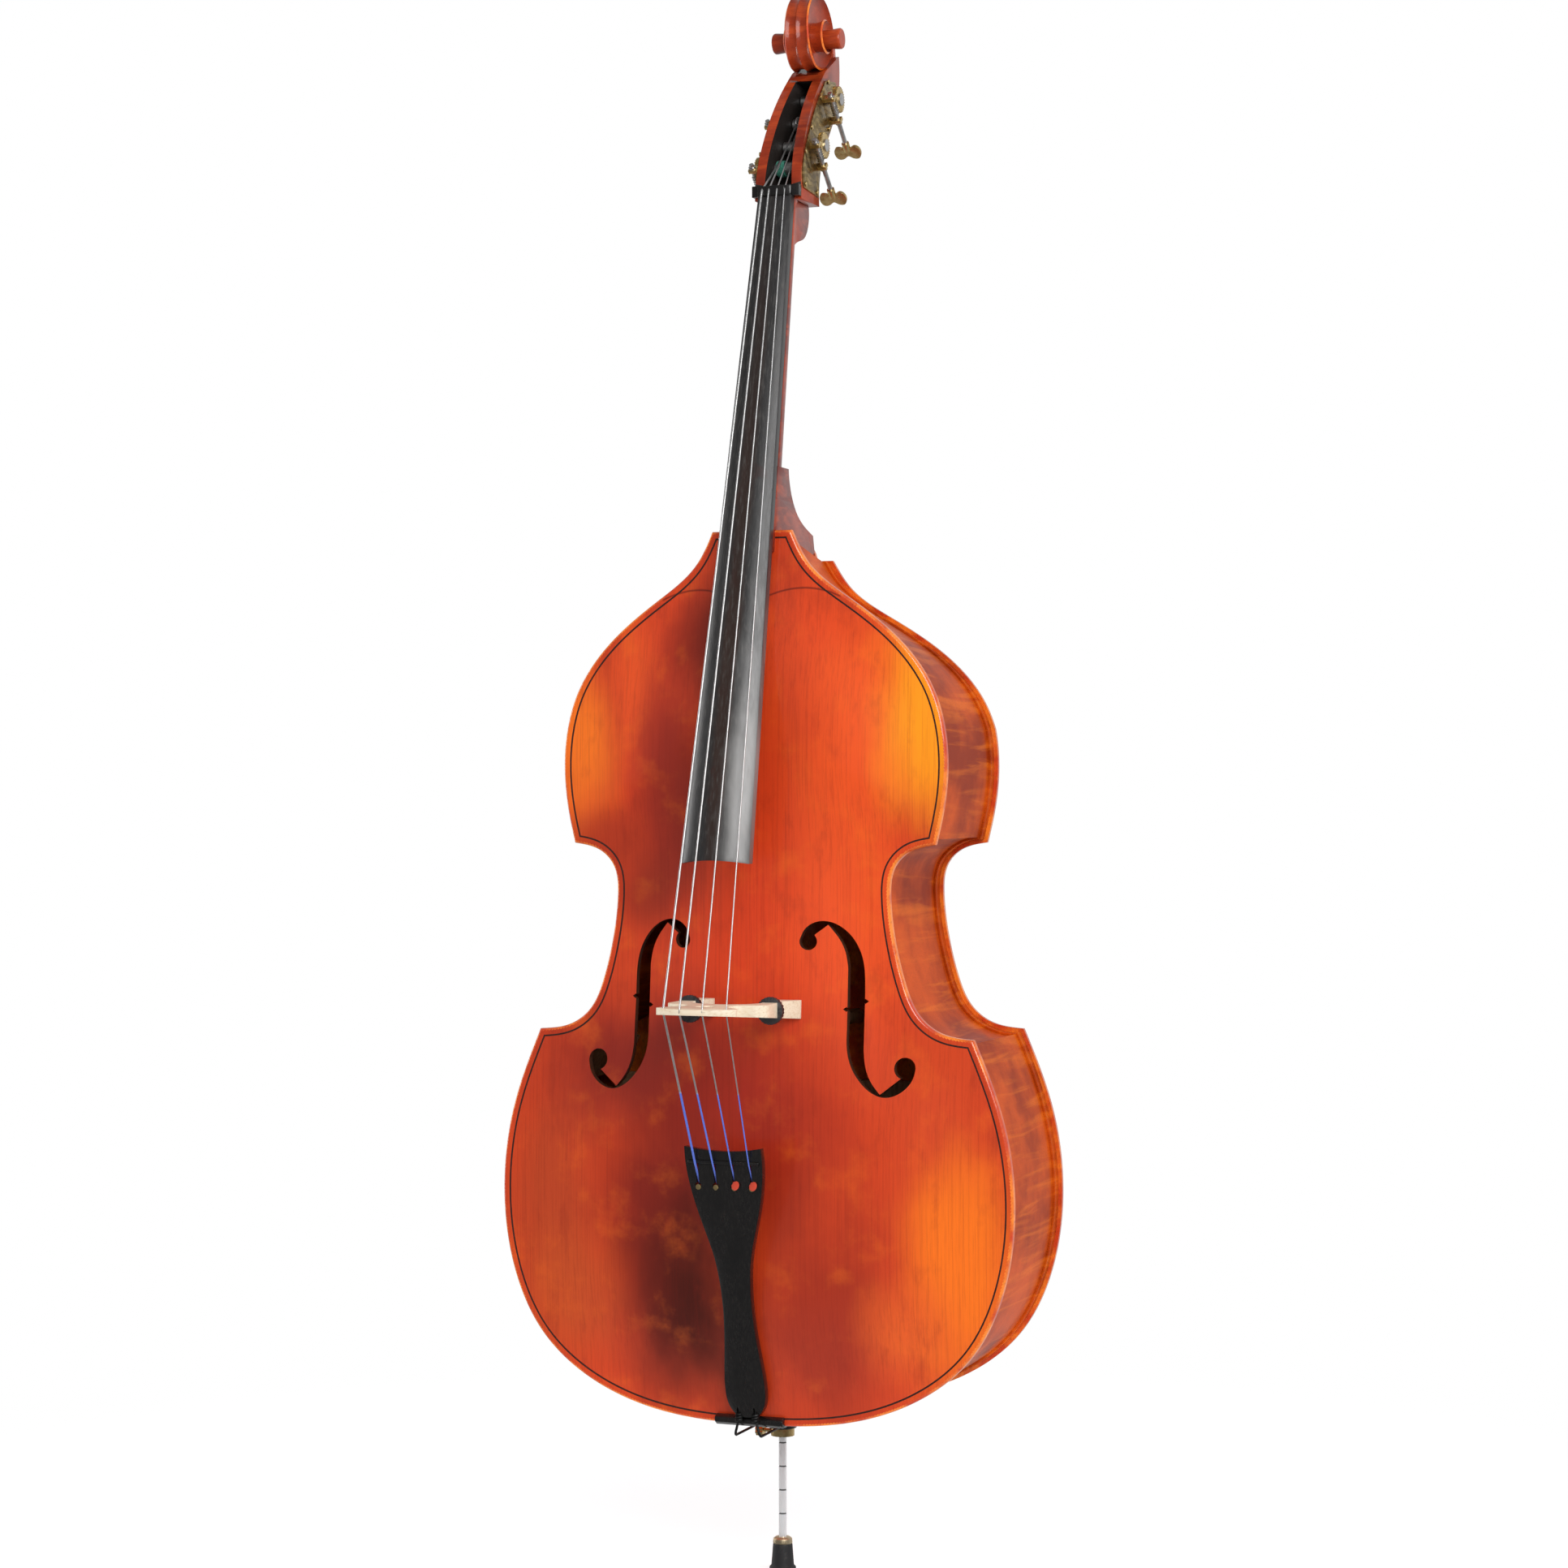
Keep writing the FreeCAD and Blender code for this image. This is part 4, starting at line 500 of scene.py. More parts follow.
def maple_varnish(name, dark, light, bright, flame_stretch, gloss):
    """Red-brown varnish over flamed maple; the flames run across the grain."""
    p = Paint(name)
    flame = p.noise(38.0, 3.0, 0.6, stretch=flame_stretch, warp=0.8)
    cloud = p.noise(7.0, 4.0, 0.6)
    fibre = p.noise(900.0, 2.0, 0.5, stretch=(0.05, 1, 1))
    colour = p.mix(p.range(cloud, 0.35, 0.68), dark, light)
    colour = p.mix(p.range(flame, 0.46, 0.70, 0.0, 0.45), colour, bright)
    colour = p.mix(p.range(fibre, 0.5, 0.75, 0.0, 0.35), colour, tuple(c * 0.3 for c in dark))
    normal = p.bump(p.math("ADD", flame, p.math("MULTIPLY", fibre, 0.3)), 0.08, 0.0006)
    return p.finish(colour, 0.34, normal, coat=gloss, coat_rough=0.07, specular=0.5 * gloss)


def edge_varnish():
    """Worn, brighter varnish along the plates' edges."""
    p = Paint("edge_varnish")
    wear = p.noise(22.0, 4.0, 0.6)
    colour = p.mix(p.range(wear, 0.38, 0.64), (0.62, 0.055, 0.010), (0.95, 0.24, 0.020))
    fibre = p.noise(700.0, 2.0, 0.5, stretch=(1, 0.3, 0.3))
    colour = p.mix(p.range(fibre, 0.5, 0.8, 0.0, 0.4), colour, (0.18, 0.015, 0.005))
    return p.finish(colour, 0.33, p.bump(fibre, 0.08), coat=0.8, coat_rough=0.08)


def dark_wood(name, colour, streak, rough, coat):
    p = Paint(name)
    fibre = p.noise(650.0, 3.0, 0.6, stretch=(1, 1, 0.03))
    cloud = p.noise(30.0, 4.0, 0.6, stretch=(1, 1, 0.25))
    tone = p.mix(p.range(fibre, 0.45, 0.75), colour, streak)
    tone = p.mix(p.range(cloud, 0.45, 0.7, 0.0, 0.6), tone, tuple(c * 0.5 for c in colour))
    roughness = p.range(cloud, 0.3, 0.7, rough, rough + 0.12)
    return p.finish(tone, roughness, p.bump(fibre, 0.12, 0.0004), coat=coat, coat_rough=0.12)


def board_wood():
    """Ebony with brown heartwood along the middle, dusty streaks in the grain, and a pale reflection of light
    painted down its right side.
    """
    p = Paint("fingerboard_ebony")
    fibre = p.noise(520.0, 3.0, 0.65, stretch=(1, 0.5, 0.016))
    brown = p.blob(0.0, 1.15, 0.016, 0.75, p.noise(26.0, 3.0, stretch=(1, 1, 0.2)))
    colour = p.mix(brown, (0.020, 0.019, 0.019), (0.034, 0.017, 0.012))
    colour = p.mix(p.range(fibre, 0.48, 0.78, 0.0, 0.8), colour, (0.075, 0.068, 0.062))
    knots = p.noise(60.0, 2.0, 0.5, stretch=(1, 1, 0.4))
    colour = p.mix(p.range(knots, 0.62, 0.72, 0.0, 0.5), colour, (0.035, 0.010, 0.006))
    # painted reflection: a pale grey patch down the right side of the board, where it faces the light
    painted_reflection = p.blob(0.030, 1.00, 0.030, 0.26, p.noise(40.0, 3.0, stretch=(1, 1, 0.15)))
    colour = p.mix(p.math("MULTIPLY", painted_reflection, 0.8), colour, (0.30, 0.29, 0.28))
    roughness = p.range(fibre, 0.35, 0.7, 0.34, 0.50)
    return p.finish(colour, roughness, p.bump(fibre, 0.15, 0.0003), coat=0.25, coat_rough=0.25)


def pale_wood(name, colour, streak, scale=500.0, stretch=(0.04, 1, 1)):
    p = Paint(name)
    fibre = p.noise(scale, 3.0, 0.6, stretch=stretch)
    fleck = p.noise(260.0, 2.0, 0.6, stretch=(0.35, 1, 1))
    cloud = p.noise(25.0, 3.0, 0.5)
    tone = p.mix(p.range(fibre, 0.42, 0.7, 0.0, 0.7), colour, streak)
    tone = p.mix(p.range(fleck, 0.6, 0.72, 0.0, 0.35), tone, tuple(c * 0.6 for c in streak))
    tone = p.mix(p.range(cloud, 0.5, 0.8, 0.0, 0.4), tone, streak)
    return p.finish(tone, 0.5, p.bump(fibre, 0.15, 0.0003), coat=0.1, coat_rough=0.3)


def metal(name, colour, dark, rough):
    """Metal with tarnish in patches and fine tool marks."""
    p = Paint(name)
    patch = p.noise(90.0, 5.0, 0.65)
    marks = p.noise(2400.0, 2.0, 0.5)
    tone = p.mix(p.range(patch, 0.42, 0.72), colour, dark)
    roughness = p.range(patch, 0.3, 0.75, rough, rough + 0.2)
    return p.finish(tone, roughness, p.bump(marks, 0.08, 0.0002), metal=1.0)


def ringed_chrome():
    """Bright rod with a dark line painted into each ring groove as its shade."""
    p = Paint("chrome_rod")
    along = p.math("SUBTRACT", p.z, RING_FIRST_Z - RING_STEP / 2)
    from_ring = p.math("ABSOLUTE", p.math("SUBTRACT", p.math("MODULO", along, RING_STEP), RING_STEP / 2))
    # painted shade: a dark line along the middle of each ring groove
    ring = p.range(from_ring, 0.0007, 0.0011, 1.0, 0.0)
    wear = p.noise(60.0, 4.0, 0.6, stretch=(1, 1, 0.2))
    tone = p.mix(p.range(wear, 0.45, 0.7), (0.92, 0.93, 0.94), (0.66, 0.67, 0.68))
    tone = p.mix(p.math("MULTIPLY", ring, 0.9), tone, (0.03, 0.03, 0.03))
    return p.finish(tone, 0.16, p.bump(wear, 0.05, 0.0002), metal=0.5)


def engraved_brass():
    """Plates with fine dots and leaf-like scrolls cut into the brass."""
    p = Paint("engraved_brass")
    scrolls = p.node("ShaderNodeTexWave", wave_type="RINGS", rings_direction="X")
    p.give(scrolls.inputs["Vector"], p.place)
    scrolls.inputs["Scale"].default_value = 30.0
    scrolls.inputs["Distortion"].default_value = 9.0
    scrolls.inputs["Detail"].default_value = 2.0
    scrolls.inputs["Detail Scale"].default_value = 1.6
    dots = p.node("ShaderNodeTexVoronoi", feature="F1")
    p.give(dots.inputs["Vector"], p.stretched(0.0, 1.0, 1.0))
    dots.inputs["Scale"].default_value = 260.0
    cut = p.range(scrolls.outputs["Fac"], 0.32, 0.5, 1.0, 0.0)
    dot = p.range(dots.outputs["Distance"], 0.12, 0.3, 1.0, 0.0)
    pattern = p.math("MAXIMUM", cut, p.math("MULTIPLY", dot, 0.6))
    patch = p.noise(80.0, 4.0, 0.6)
    tone = p.mix(p.range(patch, 0.4, 0.7), (0.52, 0.38, 0.16), (0.34, 0.24, 0.09))
    tone = p.mix(p.math("MULTIPLY", pattern, 0.5), tone, (0.14, 0.09, 0.03))
    return p.finish(tone, 0.30, p.bump(p.math("SUBTRACT", 1.0, pattern), 0.5, 0.0004), metal=1.0)


def string_wire():
    """Flat-wound steel, with blue silk near the tailpiece."""
    p = Paint("string_wire")
    wrap = p.node("ShaderNodeTexWave", wave_type="BANDS", bands_direction="Z")
    p.give(wrap.inputs["Vector"], p.place)
    wrap.inputs["Scale"].default_value = 320.0
    steel = p.mix(p.noise(120.0), (0.80, 0.80, 0.80), (0.45, 0.44, 0.43))
    blue = p.mix(p.noise(900.0, stretch=(1, 1, 0.4)), (0.05, 0.10, 0.50), (0.14, 0.22, 0.72))
    covered = p.range(p.z, SILK_TOP_Z - 0.004, SILK_TOP_Z, 1.0, 0.0)
    roughness = p.range(covered, 0.0, 1.0, 0.32, 0.75)
    material = p.finish(p.mix(covered, steel, blue), roughness, p.bump(wrap.outputs["Fac"], 0.15, 0.0002))
    p.give(p.shader.inputs["Metallic"], p.math("MULTIPLY_ADD", covered, -0.85, 0.85))
    return material


def silk(name, colour, light):
    p = Paint(name)
    thread = p.noise(1800.0, 2.0, 0.5, stretch=(0.2, 1, 1))
    tone = p.mix(thread, colour, light)
    return p.finish(tone, 0.7, p.bump(thread, 0.3, 0.0003), sheen=0.1)


def rubber():
    p = Paint("foot_rubber")
    dust = p.noise(120.0, 4.0, 0.6)
    tone = p.mix(p.range(dust, 0.5, 0.8), (0.014, 0.014, 0.015), (0.05, 0.048, 0.045))
    return p.finish(tone, 0.6, p.bump(p.noise(1600.0), 0.2, 0.0003))


def black_inside():
    p = Paint("pegbox_inside")
    fibre = p.noise(500.0, 2.0, stretch=(1, 1, 0.05))
    tone = p.mix(fibre, (0.010, 0.008, 0.007), (0.035, 0.024, 0.020))
    return p.finish(tone, 0.55, p.bump(fibre, 0.1, 0.0004))


FRONT = spruce_varnish()
RIBS = maple_varnish("rib_varnish", (0.27, 0.026, 0.003), (0.64, 0.088, 0.007), (0.84, 0.18, 0.010),
                     flame_stretch=(1.4, 0.12, 1.4), gloss=0.07)
BACK = maple_varnish("back_varnish", (0.20, 0.026, 0.007), (0.42, 0.066, 0.012), (0.62, 0.13, 0.020),
                     flame_stretch=(0.10, 1, 1.5), gloss=0.4)
NECK = maple_varnish("neck_varnish", (0.15, 0.014, 0.006), (0.40, 0.044, 0.010), (0.60, 0.085, 0.016),
                     flame_stretch=(0.3, 0.5, 1.6), gloss=0.4)
EDGE = edge_varnish()
PURFLED = dark_wood("purfling_wood", (0.030, 0.006, 0.003), (0.075, 0.014, 0.006), 0.35, 0.8)
HOLE_WALL = dark_wood("hole_wall", (0.060, 0.018, 0.008), (0.16, 0.050, 0.020), 0.5, 0.2)
BARE = pale_wood("bare_spruce", (0.62, 0.43, 0.24), (0.44, 0.27, 0.12), 300.0, (1, 1, 0.03))
EBONY = dark_wood("black_ebony", (0.006, 0.005, 0.005), (0.016, 0.014, 0.012), 0.22, 0.4)
BOARD = board_wood()
BRIDGE_WOOD = pale_wood("bridge_maple", (0.86, 0.74, 0.56), (0.72, 0.54, 0.34))
PLATES = engraved_brass()
BRASS = metal("brass", (0.80, 0.60, 0.28), (0.50, 0.33, 0.12), 0.24)
FERRULE = metal("ferrule_brass", (0.72, 0.60, 0.40), (0.50, 0.38, 0.22), 0.38)
STEEL = metal("turned_steel", (0.62, 0.61, 0.60), (0.36, 0.34, 0.32), 0.28)
CHROME = ringed_chrome()
WHEEL = metal("grey_wheel", (0.16, 0.16, 0.17), (0.07, 0.07, 0.075), 0.38)
STRING = string_wire()
GREEN_SILK = silk("green_silk", (0.02, 0.16, 0.11), (0.07, 0.36, 0.25))
CABLE = metal("cable_wire", (0.07, 0.07, 0.07), (0.025, 0.025, 0.025), 0.45)
RUBBER = rubber()
INSIDE = black_inside()
FELT = silk("red_felt", (0.50, 0.030, 0.012), (0.66, 0.070, 0.025))


# ======== body ========
def f_hole(side):
    """Closed lines of one f-hole: the strokes, both eyes and the two nicks."""
    stroke = np.vstack([cubic(F_OUTER_TOP), cubic(F_INNER_LOW), [F_LOWER_NOSE], cubic(F_OUTER_LOW),
                        cubic(F_INNER_TOP), [F_UPPER_NOSE]])
    loops = [stroke] + [arc(x, z, r, 0, 345, 24) for x, z, r in F_EYES]
    loops += [np.array([(x - 4, z), (x, z - 3), (x + 4, z), (x, z + 3)]) for x, z in F_NICKS]
    return [loop * (side, 1) for loop in loops]


def build_body():
    outline = body_outline(False)
    front = plate("front", outline, f_hole(1) + f_hole(-1), True, front_place, (FRONT, PURFLED, EDGE, HOLE_WALL))
    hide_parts("top_plate", "purfling")
    back = plate("back", body_outline(True), [], False, back_place, (BACK, PURFLED, EDGE, HOLE_WALL))
    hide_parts("back_plate")
    for node in ("bass_bar", "sound_post", "back_braces", "corner_blocks", "end_block", "neck_block"):
        dress(node, BARE)
    for side in ("left", "right"):
        for bout in ("lower", "waist", "upper"):
            dress(f"rib_{bout}_{side}", RIBS)
    softened("linings", 0.0011, RIBS)
    softened("saddle", 0.0008, EBONY)


def dress(node, material):
    """Gives a CAD node its finish."""
    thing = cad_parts[node]
    thing.data.materials.clear()
    thing.data.materials.append(material)


# ======== neck and scroll ========
EYE = (93.7, 1762.0)
# along the scroll from the pegbox inwards: angle about the eye, outer radius, half width
SCROLL = [(-42, 70, 19.5), (-20, 60.5, 17.6), (10, 57.5, 16.0), (40, 60.5, 15.4), (65, 61.3, 15.3),
          (90, 60, 15.3), (118, 57, 15.6), (148, 51, 16.0), (180, 45.5, 16.6), (212, 43.5, 17.4),
          (240, 42.5, 18.2), (268, 39.5, 19.2), (300, 35.5, 20.4), (340, 31.5, 22.4), (400, 28, 24.5),
          (470, 25.5, 26.2), (560, 22, 27.5), (640, 18, 28.2), (700, 15, 28.6)]
SCROLL_STEP = 5.0         # degrees
CHAMFER = 1.8
CHAMFER_STRIPS = (0, 13)  # the strips of the section that are its chamfers
FLUTE_DEEP = 3.4
CHANNEL_DEEP = 6.5        # how far the sides are hollowed beside each turn
CHANNEL_DROP = 16.0
# the knob at its eye: radius, distance from the middle
KNOB = [(12.0, 20.0), (12.6, 34.0), (13.4, 43.0), (13.4, 45.2), (12.4, 46.6), (9.5, 47.0), (2.5, 46.6)]
KNOB_TURNS = 32
# depth and height of the throat and of the top of the pegbox's back
VOLUTE_CUT = ((96, 1722), (150, 1752))


def scroll_section(radius, half, inner):
    """Closed section of the scroll: chamfered edges, two flutes with a ridge between them and hollowed sides."""
    reach = half - CHAMFER
    outer = [(-half, radius - CHAMFER), (-half + CHAMFER, radius)]
    for i in range(1, 12):
        x = -reach + 2 * reach * i / 12
        outer.append((x, radius - FLUTE_DEEP * abs(math.sin(math.pi * x / reach)) ** 0.8))
    outer += [(reach, radius), (half, radius - CHAMFER)]
    drop = min(radius - inner, CHANNEL_DROP)
    side = [(half - 0.55 * CHANNEL_DEEP, radius - 0.22 * drop), (half - 0.9 * CHANNEL_DEEP, radius - 0.5 * drop),
            (half - CHANNEL_DEEP, inner)]
    return outer + side + [(-x, r) for x, r in side[::-1]]


def eye_ring(bm, angles, section):
    """Points of a section given as (x, radius about the eye), each at its angle."""
    return [bm.verts.new((x * MM, (EYE[0] + r * math.cos(a)) * MM, (EYE[1] + r * math.sin(a) + BODY_BOTTOM) * MM))
            for a, (x, r) in zip(angles, section)]


def build_scroll():
    angles, radii, halves = np.array(SCROLL, float).T
    steps = np.arange(angles[0], angles[-1] + 0.1, SCROLL_STEP)
    bm = bmesh.new()
    rings = []
    chamfers = set()
    for angle in steps:
        radius = np.interp(angle, angles, radii)
        half = np.interp(angle, angles, halves)
        inner = max(np.interp(min(angle + 360, angles[-1]), angles, radii) - 3.0, 6.0)
        section = scroll_section(radius, half, inner)
        rings.append(eye_ring(bm, [math.radians(angle)] * len(section), section))
    for before, after in zip(rings, rings[1:]):
        count = len(before)
        for i in range(count):
            j = (i + 1) % count
            face = bm.faces.new((before[i], after[i], after[j], before[j]))
            if i in CHAMFER_STRIPS:
                chamfers.add(face)
    bm.faces.new(rings[0])
    bm.faces.new(rings[-1][::-1])
    for face in bm.faces:
        face.material_index = 1 if face in chamfers else 0
    for side in (-1, 1):
        eye_button(bm, side)
    bmesh.ops.recalc_face_normals(bm, faces=bm.faces)
    mesh = bpy.data.meshes.new("scroll")
    bm.to_mesh(mesh)
    bm.free()
    smooth(mesh, 40)
    return new_piece("scroll", mesh, "bass", NECK, EDGE)


def eye_button(bm, side):
    """The turned knob in the middle of the scroll."""
    angles = [2 * math.pi * i / KNOB_TURNS for i in range(KNOB_TURNS)]
    rings = [eye_ring(bm, angles, [(side * x, r)] * KNOB_TURNS) for r, x in KNOB]
    join_rings(bm, rings)
    bm.faces.new(rings[-1])
    bm.faces.new(rings[0])


def without_volute(bm):
    """Cuts the plain volute off the neck, above the line from the throat to the top of the pegbox's back."""
    throat, back = [Vector((0, y * MM, (z + BODY_BOTTOM) * MM)) for y, z in VOLUTE_CUT]
    normal = Vector((1, 0, 0)).cross(back - throat).normalized()
    everything = bm.verts[:] + bm.edges[:] + bm.faces[:]
    cut = bmesh.ops.bisect_plane(bm, geom=everything, plane_co=throat, plane_no=normal, clear_outer=True)
    edges = [e for e in cut["geom_cut"] if isinstance(e, bmesh.types.BMEdge)]
    bmesh.ops.holes_fill(bm, edges=edges)


def build_neck():
    """The neck's pegbox is black inside and worn along the chamfers of its cheeks."""
    neck = softened("neck", 0.0010, NECK, edit=without_volute)
    neck.data.materials.append(INSIDE)
    neck.data.materials.append(EDGE)
    for face in neck.data.polygons:
        x, y, z = face.center
        wall = PEGBOX_HALF - PEGBOX_TAPER * (z - NUT_POINT[2])
        in_opening = PEGBOX_LOW < z < PEGBOX_HIGH and abs(x) < wall + 0.0006 and y < PEGBOX_BACK
        chamfer = face.area < 4e-5 and face.normal.y < -0.2 and abs(face.normal.x) > 0.3
        if in_opening and face.normal.y < 0.5:
            face.material_index = 1
        elif z > PEGBOX_LOW and abs(x) > 0.018 and chamfer:
            face.material_index = 2
    build_scroll()
    softened("fingerboard", 0.0010, BOARD)
    softened("nut", 0.0006, EBONY)


# ======== strings ========
def string_part(node, name, above):
    """The part of a string above or below the bridge's crown."""
    mesh, bm = copied(node)
    everything = bm.verts[:] + bm.edges[:] + bm.faces[:]
    bmesh.ops.bisect_plane(bm, geom=everything, plane_co=(0, 0, BRIDGE_Z), plane_no=(0, 0, -1 if above else 1),
                           clear_outer=True)
    bm.to_mesh(mesh)
    bm.free()
    mesh.materials.append(STRING)
    mesh.shade_smooth()
    piece = bpy.data.objects.new(name, mesh)
    bpy.context.scene.collection.objects.link(piece)
    return piece


def build_strings():
    for letter in "eadg":
        node = f"string_{letter}"
        upper = string_part(node, node + "_speaking", True)
        lower = string_part(node, node + "_afterlength", False)
        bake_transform(upper)
        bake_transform(lower)
        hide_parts(node)
        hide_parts(node)


def build_winding(letter, wire):
    """Turns of string laid side by side on the roller."""
    per_turn = 28
    low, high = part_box(f"winding_{letter}")
    y, z = (low.y + high.y) / 2, (low.z + high.z) / 2
    radius = (high.y - low.y) / 2 - wire
    turns = (high.x - low.x) / (2 * wire)
    points = []
    for i in range(int(turns * per_turn) + 1):
        a = 2 * math.pi * i / per_turn
        x = low.x + wire + (high.x - low.x - 2 * wire) * i / (turns * per_turn)
        points.append((x, y + radius * math.cos(a), z + radius * math.sin(a)))
    material = GREEN_SILK if letter in "eg" else STRING
    coil = tube(f"coil_{letter}", points, wire, f"tuner_{letter}", material)
    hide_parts(f"winding_{letter}")


# ======== bridge, tailpiece, endpin ========
# the tailpiece's half width at each height
TAIL_HALF = [(12, 11.7), (27, 23.5), (48, 26.4), (88, 23.3), (150, 19), (182, 20), (214, 24), (262, 37), (308, 47.5),
             (354, 49.8)]
TAIL_CROWN = 0.0050
TAIL_THICK = 0.010
CROWN_END = 0.530         # the crown flattens out below the string bar, over CROWN_FADE
CROWN_FADE = 0.04
WHIPPING_TURNS = 3.5
WHIPPING_RADIUS = 0.0034
WHIPPING_PITCH = 0.00021  # rise per point
WHIPPING_FOOT = (0.0108, -0.1238, 0.2205)
TAIL_X = {"e": -0.036, "a": -0.013, "d": 0.011, "g": 0.034}     # the strings' places across it
FELTED = "dg"
# radius, distance from the end
BALL = [(0.0016, 0.0), (0.0034, 0.0006), (0.0038, 0.002), (0.0038, 0.004), (0.0032, 0.0052), (0.0014, 0.0056)]
SCRAP = [(0.0030, 0.0), (0.0056, 0.0008), (0.0060, 0.0018), (0.0044, 0.0028)]


def crowned_tailpiece(bm):
    """Cuts the flat front into a grid and raises it into a rounded crown."""
    low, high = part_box("tailpiece")
    for i in range(1, 12):
        cut_at(bm, (low.x + (high.x - low.x) * i / 12, 0, 0), (1, 0, 0))
    for i in range(1, 22):
        cut_at(bm, (0, 0, low.z + (high.z - low.z) * i / 22), (0, 0, 1))
    heights = [(h + BODY_BOTTOM) * MM for h, _ in TAIL_HALF]
    halves = [w * MM for _, w in TAIL_HALF]
    for v in bm.verts:
        if v.co.y < tail_front(v.co.z) + 0.002:
            share = 1 - min(abs(v.co.x) / np.interp(v.co.z, heights, halves), 1) ** 2
            fade = min(max((CROWN_END - v.co.z) / CROWN_FADE, 0), 1)
            v.co.y -= TAIL_CROWN * share * fade


def cut_at(bm, point, normal):
    bmesh.ops.bisect_plane(bm, geom=bm.verts[:] + bm.edges[:] + bm.faces[:], plane_co=point, plane_no=normal)


def lathe(name, profile, origin, axis, body, material, turns=24):
    """Round piece from (radius, distance) points about an axis through origin."""
    turn = Vector((0, 0, 1)).rotation_difference(Vector(axis)).to_matrix()
    bm = bmesh.new()
    rings = []
    for r, far in profile:
        ring = []
        for i in range(turns):
            a = 2 * math.pi * i / turns
            ring.append(bm.verts.new(Vector(origin) + turn @ Vector((r * math.cos(a), r * math.sin(a), far))))
        rings.append(ring)
    join_rings(bm, rings)
    bm.faces.new(rings[0][::-1])
    bm.faces.new(rings[-1])
    bmesh.ops.recalc_face_normals(bm, faces=bm.faces)
    mesh = bpy.data.meshes.new(name)
    bm.to_mesh(mesh)
    bm.free()
    smooth(mesh, 45)
    return new_piece(name, mesh, body, material)


def build_ball_end(letter):
    """Brass ball at the string's end in its keyhole, with a scrap of felt on two of them."""
    x = TAIL_X[letter]
    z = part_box(f"string_{letter}")[0].z - 0.001
    y = tail_front(z) - 0.0015
    lathe(f"ball_{letter}", BALL, (x, y, z), (0, 1, 0), "bass", BRASS)
    if letter in FELTED:
        lathe(f"felt_{letter}", SCRAP, (x + 0.002, y - 0.003, z + 0.004), (0.4, 1, -0.3), "bass", FELT, 14)


def tail_front(z):
    """Front of the tailpiece at a height."""
    low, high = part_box("tailpiece")
    lean = (high.y - TAIL_THICK - low.y) / (high.z - low.z)
    return low.y + lean * (high.z - z)


def build_fittings():
    softened("tailpiece", 0.0010, EBONY, edit=crowned_tailpiece)
    softened("tailpiece_fret", 0.0005, EBONY)
    for letter in TAIL_X:
        build_ball_end(letter)
    softened("bridge_top", 0.0008, BRIDGE_WOOD, body="bridge")
    softened("bridge_feet", 0.0010, BRIDGE_WOOD)
    for side in ("left", "right"):
        softened(f"bridge_adjuster_{side}", 0.0004, WHEEL, body=f"adjuster_{side}")
    softened("endpin_plug", 0.0008, EBONY)
    softened("endpin_collar", 0.0008, BRASS)
    softened("endpin_thumbscrew", 0.0006, BRASS, body="clamp_screw")
    dress("endpin_rod", CHROME)
    softened("endpin_ferrule", 0.0006, FERRULE, body="endpin")
    softened("rubber_foot", 0.0012, RUBBER, body="endpin", segments=3)
    dress("tail_cable", CABLE)
    x, y, z = WHIPPING_FOOT
    for side, middle in (("left", -x), ("right", x)):
        turns = [(middle + WHIPPING_RADIUS * math.cos(a), y + WHIPPING_RADIUS * math.sin(a), z + WHIPPING_PITCH * i)
                 for i, a in enumerate(np.linspace(0, 2 * WHIPPING_TURNS * math.pi, 57))]
        tube(f"cable_whipping_{side}", turns, 0.0017, "bass", CABLE)


# ======== tuning machines ========
WIRE = {"e": 0.00135, "a": 0.00130, "d": 0.00130, "g": 0.00130}   # the strings' radii on their rollers


def build_tuners():
    softened("tuner_plates", 0.0004, PLATES)
    softened("tuner_screws", 0.0006, BRASS, segments=3)
    softened("worm_brackets", 0.0007, BRASS)
    for letter, wire in WIRE.items():
        softened(f"gear_{letter}", 0.0003, BRASS, body=f"tuner_{letter}")
        softened(f"key_{letter}", 0.0014, BRASS, body=f"machine_{letter}", segments=3)
        dress(f"roller_{letter}", STEEL)
        dress(f"worm_{letter}", STEEL)
        build_winding(letter, wire)


# ======== stage ========
FLOOR_REACH = 4.0
FLOOR_GLOW = 0.36
FLOOR_FADE = (0.35, 1.6)  # distances between which the floor fades out
AMBIENT = 0.46
# what reflections see: direction in depth and brightness, on the camera's side and behind the object
BACKDROP_FADE = {"From Min": -0.3, "From Max": 1.0, "To Min": 0.15, "To Max": 0.62}
CAMERA_PLACE = (1.47477, -3.87214, 1.00224)
CAMERA_PITCH = 90.116     # degrees
CAMERA_HEADING = 20.828
LENS = 74.70
# lamps: place, where they point, size, power, and whether they show in reflections
LAMPS = {
    "key": ((2.4, -3.0, 2.7), (0, 0, 1.0), (2.4, 2.4), 122, True),
    "fill": ((-2.6, -3.2, 1.6), (0, 0, 1.0), (1.6, 2.2), 30, False),
    "side": ((3.0, 0.6, 1.4), (0.2, 0, 0.9), (0.8, 2.2), 22, False),
    "edge": ((-3.4, 0.2, 1.2), (0, 0, 0.8), (0.5, 2.6), 26, True),
    "rear": ((-1.0, 2.8, 2.2), (0, 0, 1.0), (1.4, 2.0), 30, False),
}


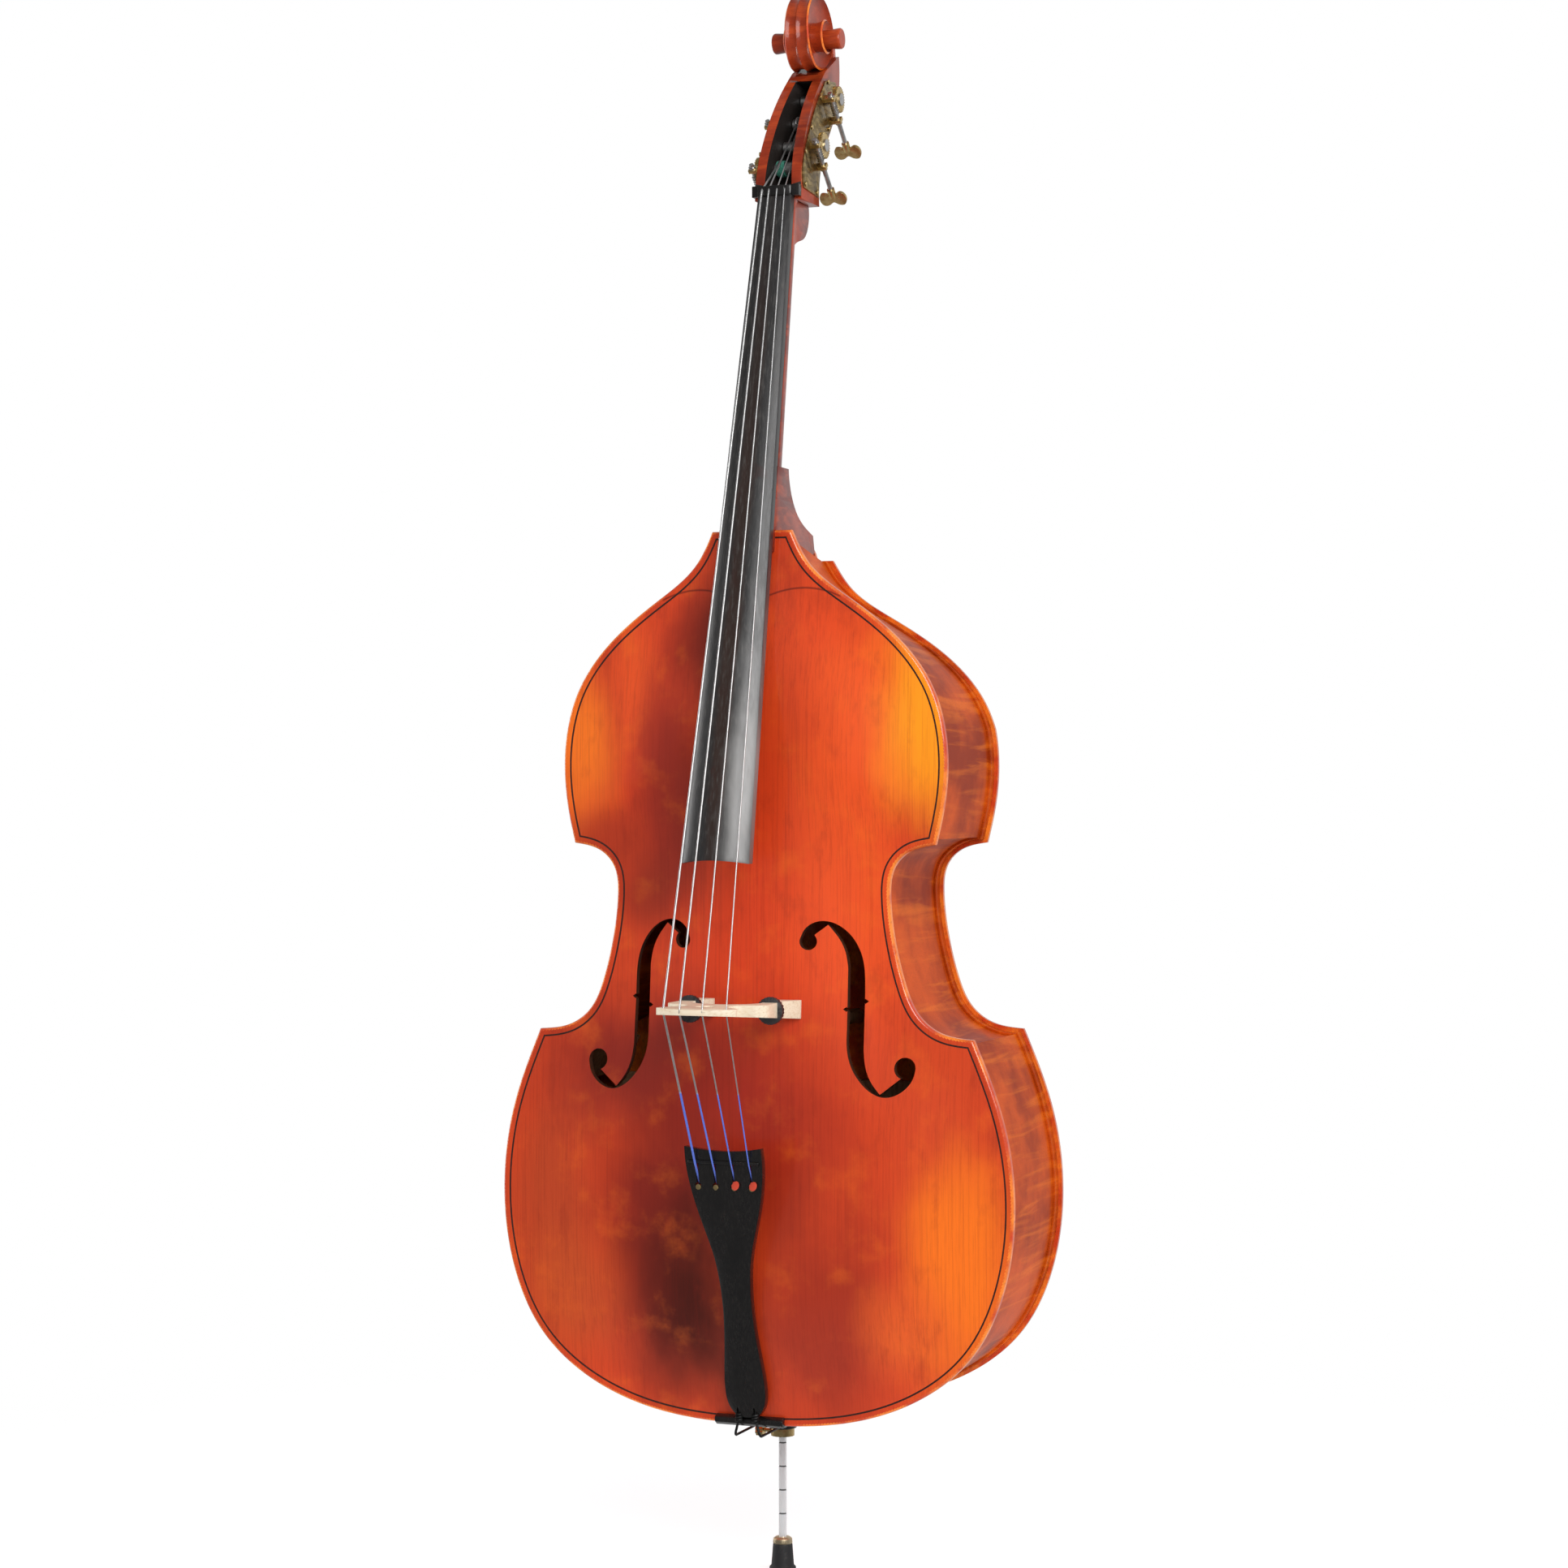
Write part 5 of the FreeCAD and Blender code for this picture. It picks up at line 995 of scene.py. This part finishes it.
def build_stage():
    """Pale floor that glows a little and fades out round the object."""
    p = Paint("stage_floor")
    far = p.math("SQRT", p.math("ADD", p.math("MULTIPLY", p.x, p.x), p.math("MULTIPLY", p.y, p.y)))
    p.finish((0.86, 0.86, 0.86), 0.9, specular=0.1)
    p.give(p.shader.inputs["Emission Color"], (1, 1, 1, 1))
    p.give(p.shader.inputs["Emission Strength"], FLOOR_GLOW)
    p.give(p.shader.inputs["Alpha"], p.range(far, *FLOOR_FADE, 1.0, 0.0))
    mesh = bpy.data.meshes.new("floor")
    corners = [(FLOOR_REACH * x, FLOOR_REACH * y, 0) for x, y in ((-1, -1), (1, -1), (1, 1), (-1, 1))]
    mesh.from_pydata(corners, [], [(0, 1, 2, 3)])
    mesh.materials.append(p.material)
    floor = bpy.data.objects.new("floor", mesh)
    bpy.context.scene.collection.objects.link(floor)
    floor.visible_glossy = False


def area_light(name, place, target, size, power, shines):
    """Rectangular lamp; one that doesn't shine leaves no reflection of itself."""
    light = bpy.data.lights.new(name, "AREA")
    light.shape = "RECTANGLE"
    light.size, light.size_y = size
    light.energy = power
    holder = bpy.data.objects.new(name, light)
    holder.location = place
    holder.rotation_euler = (Vector(target) - Vector(place)).to_track_quat("-Z", "Y").to_euler()
    holder.visible_glossy = shines
    bpy.context.scene.collection.objects.link(holder)


def build_light():
    """White backdrop; reflections see it bright behind the object and dark on the camera's side."""
    world = bpy.data.worlds.new("studio")
    world.use_nodes = True
    tree = world.node_tree
    path = tree.nodes.new("ShaderNodeLightPath")
    place = tree.nodes.new("ShaderNodeTexCoord")
    split = tree.nodes.new("ShaderNodeSeparateXYZ")
    tree.links.new(place.outputs["Generated"], split.inputs[0])
    fade = tree.nodes.new("ShaderNodeMapRange")
    tree.links.new(split.outputs["Y"], fade.inputs["Value"])
    for socket, value in BACKDROP_FADE.items():
        fade.inputs[socket].default_value = value

    def backdrop(colour, strength):
        node = tree.nodes.new("ShaderNodeBackground")
        node.inputs["Color"].default_value = (*colour, 1)
        if isinstance(strength, bpy.types.NodeSocket):
            tree.links.new(strength, node.inputs["Strength"])
        else:
            node.inputs["Strength"].default_value = strength
        return node.outputs[0]

    def choose(share, first, second):
        node = tree.nodes.new("ShaderNodeMixShader")
        for socket, value in zip(node.inputs, (share, first, second)):
            tree.links.new(value, socket)
        return node.outputs[0]

    ambient = backdrop((0.95, 0.97, 1.0), AMBIENT)
    shown = choose(path.outputs["Is Glossy Ray"], ambient, backdrop((1, 1, 1), fade.outputs[0]))
    shown = choose(path.outputs["Is Camera Ray"], shown, backdrop((1, 1, 1), 1.0))
    tree.links.new(shown, tree.nodes["World Output"].inputs["Surface"])
    bpy.context.scene.world = world
    for name, lamp in LAMPS.items():
        area_light(name, *lamp)


def build_camera():
    """Level with the middle of the body, 21 degrees to its right."""
    camera = bpy.data.cameras.new("camera")
    camera.sensor_width = 36.0
    camera.lens = LENS
    holder = bpy.data.objects.new("camera", camera)
    holder.location = CAMERA_PLACE
    holder.rotation_euler = (math.radians(CAMERA_PITCH), 0, math.radians(CAMERA_HEADING))
    bpy.context.scene.collection.objects.link(holder)
    bpy.context.scene.camera = holder


build_body()
build_neck()
build_strings()
build_fittings()
build_tuners()
build_stage()
build_light()
build_camera()
bpy.context.scene.view_settings.view_transform = "Standard"
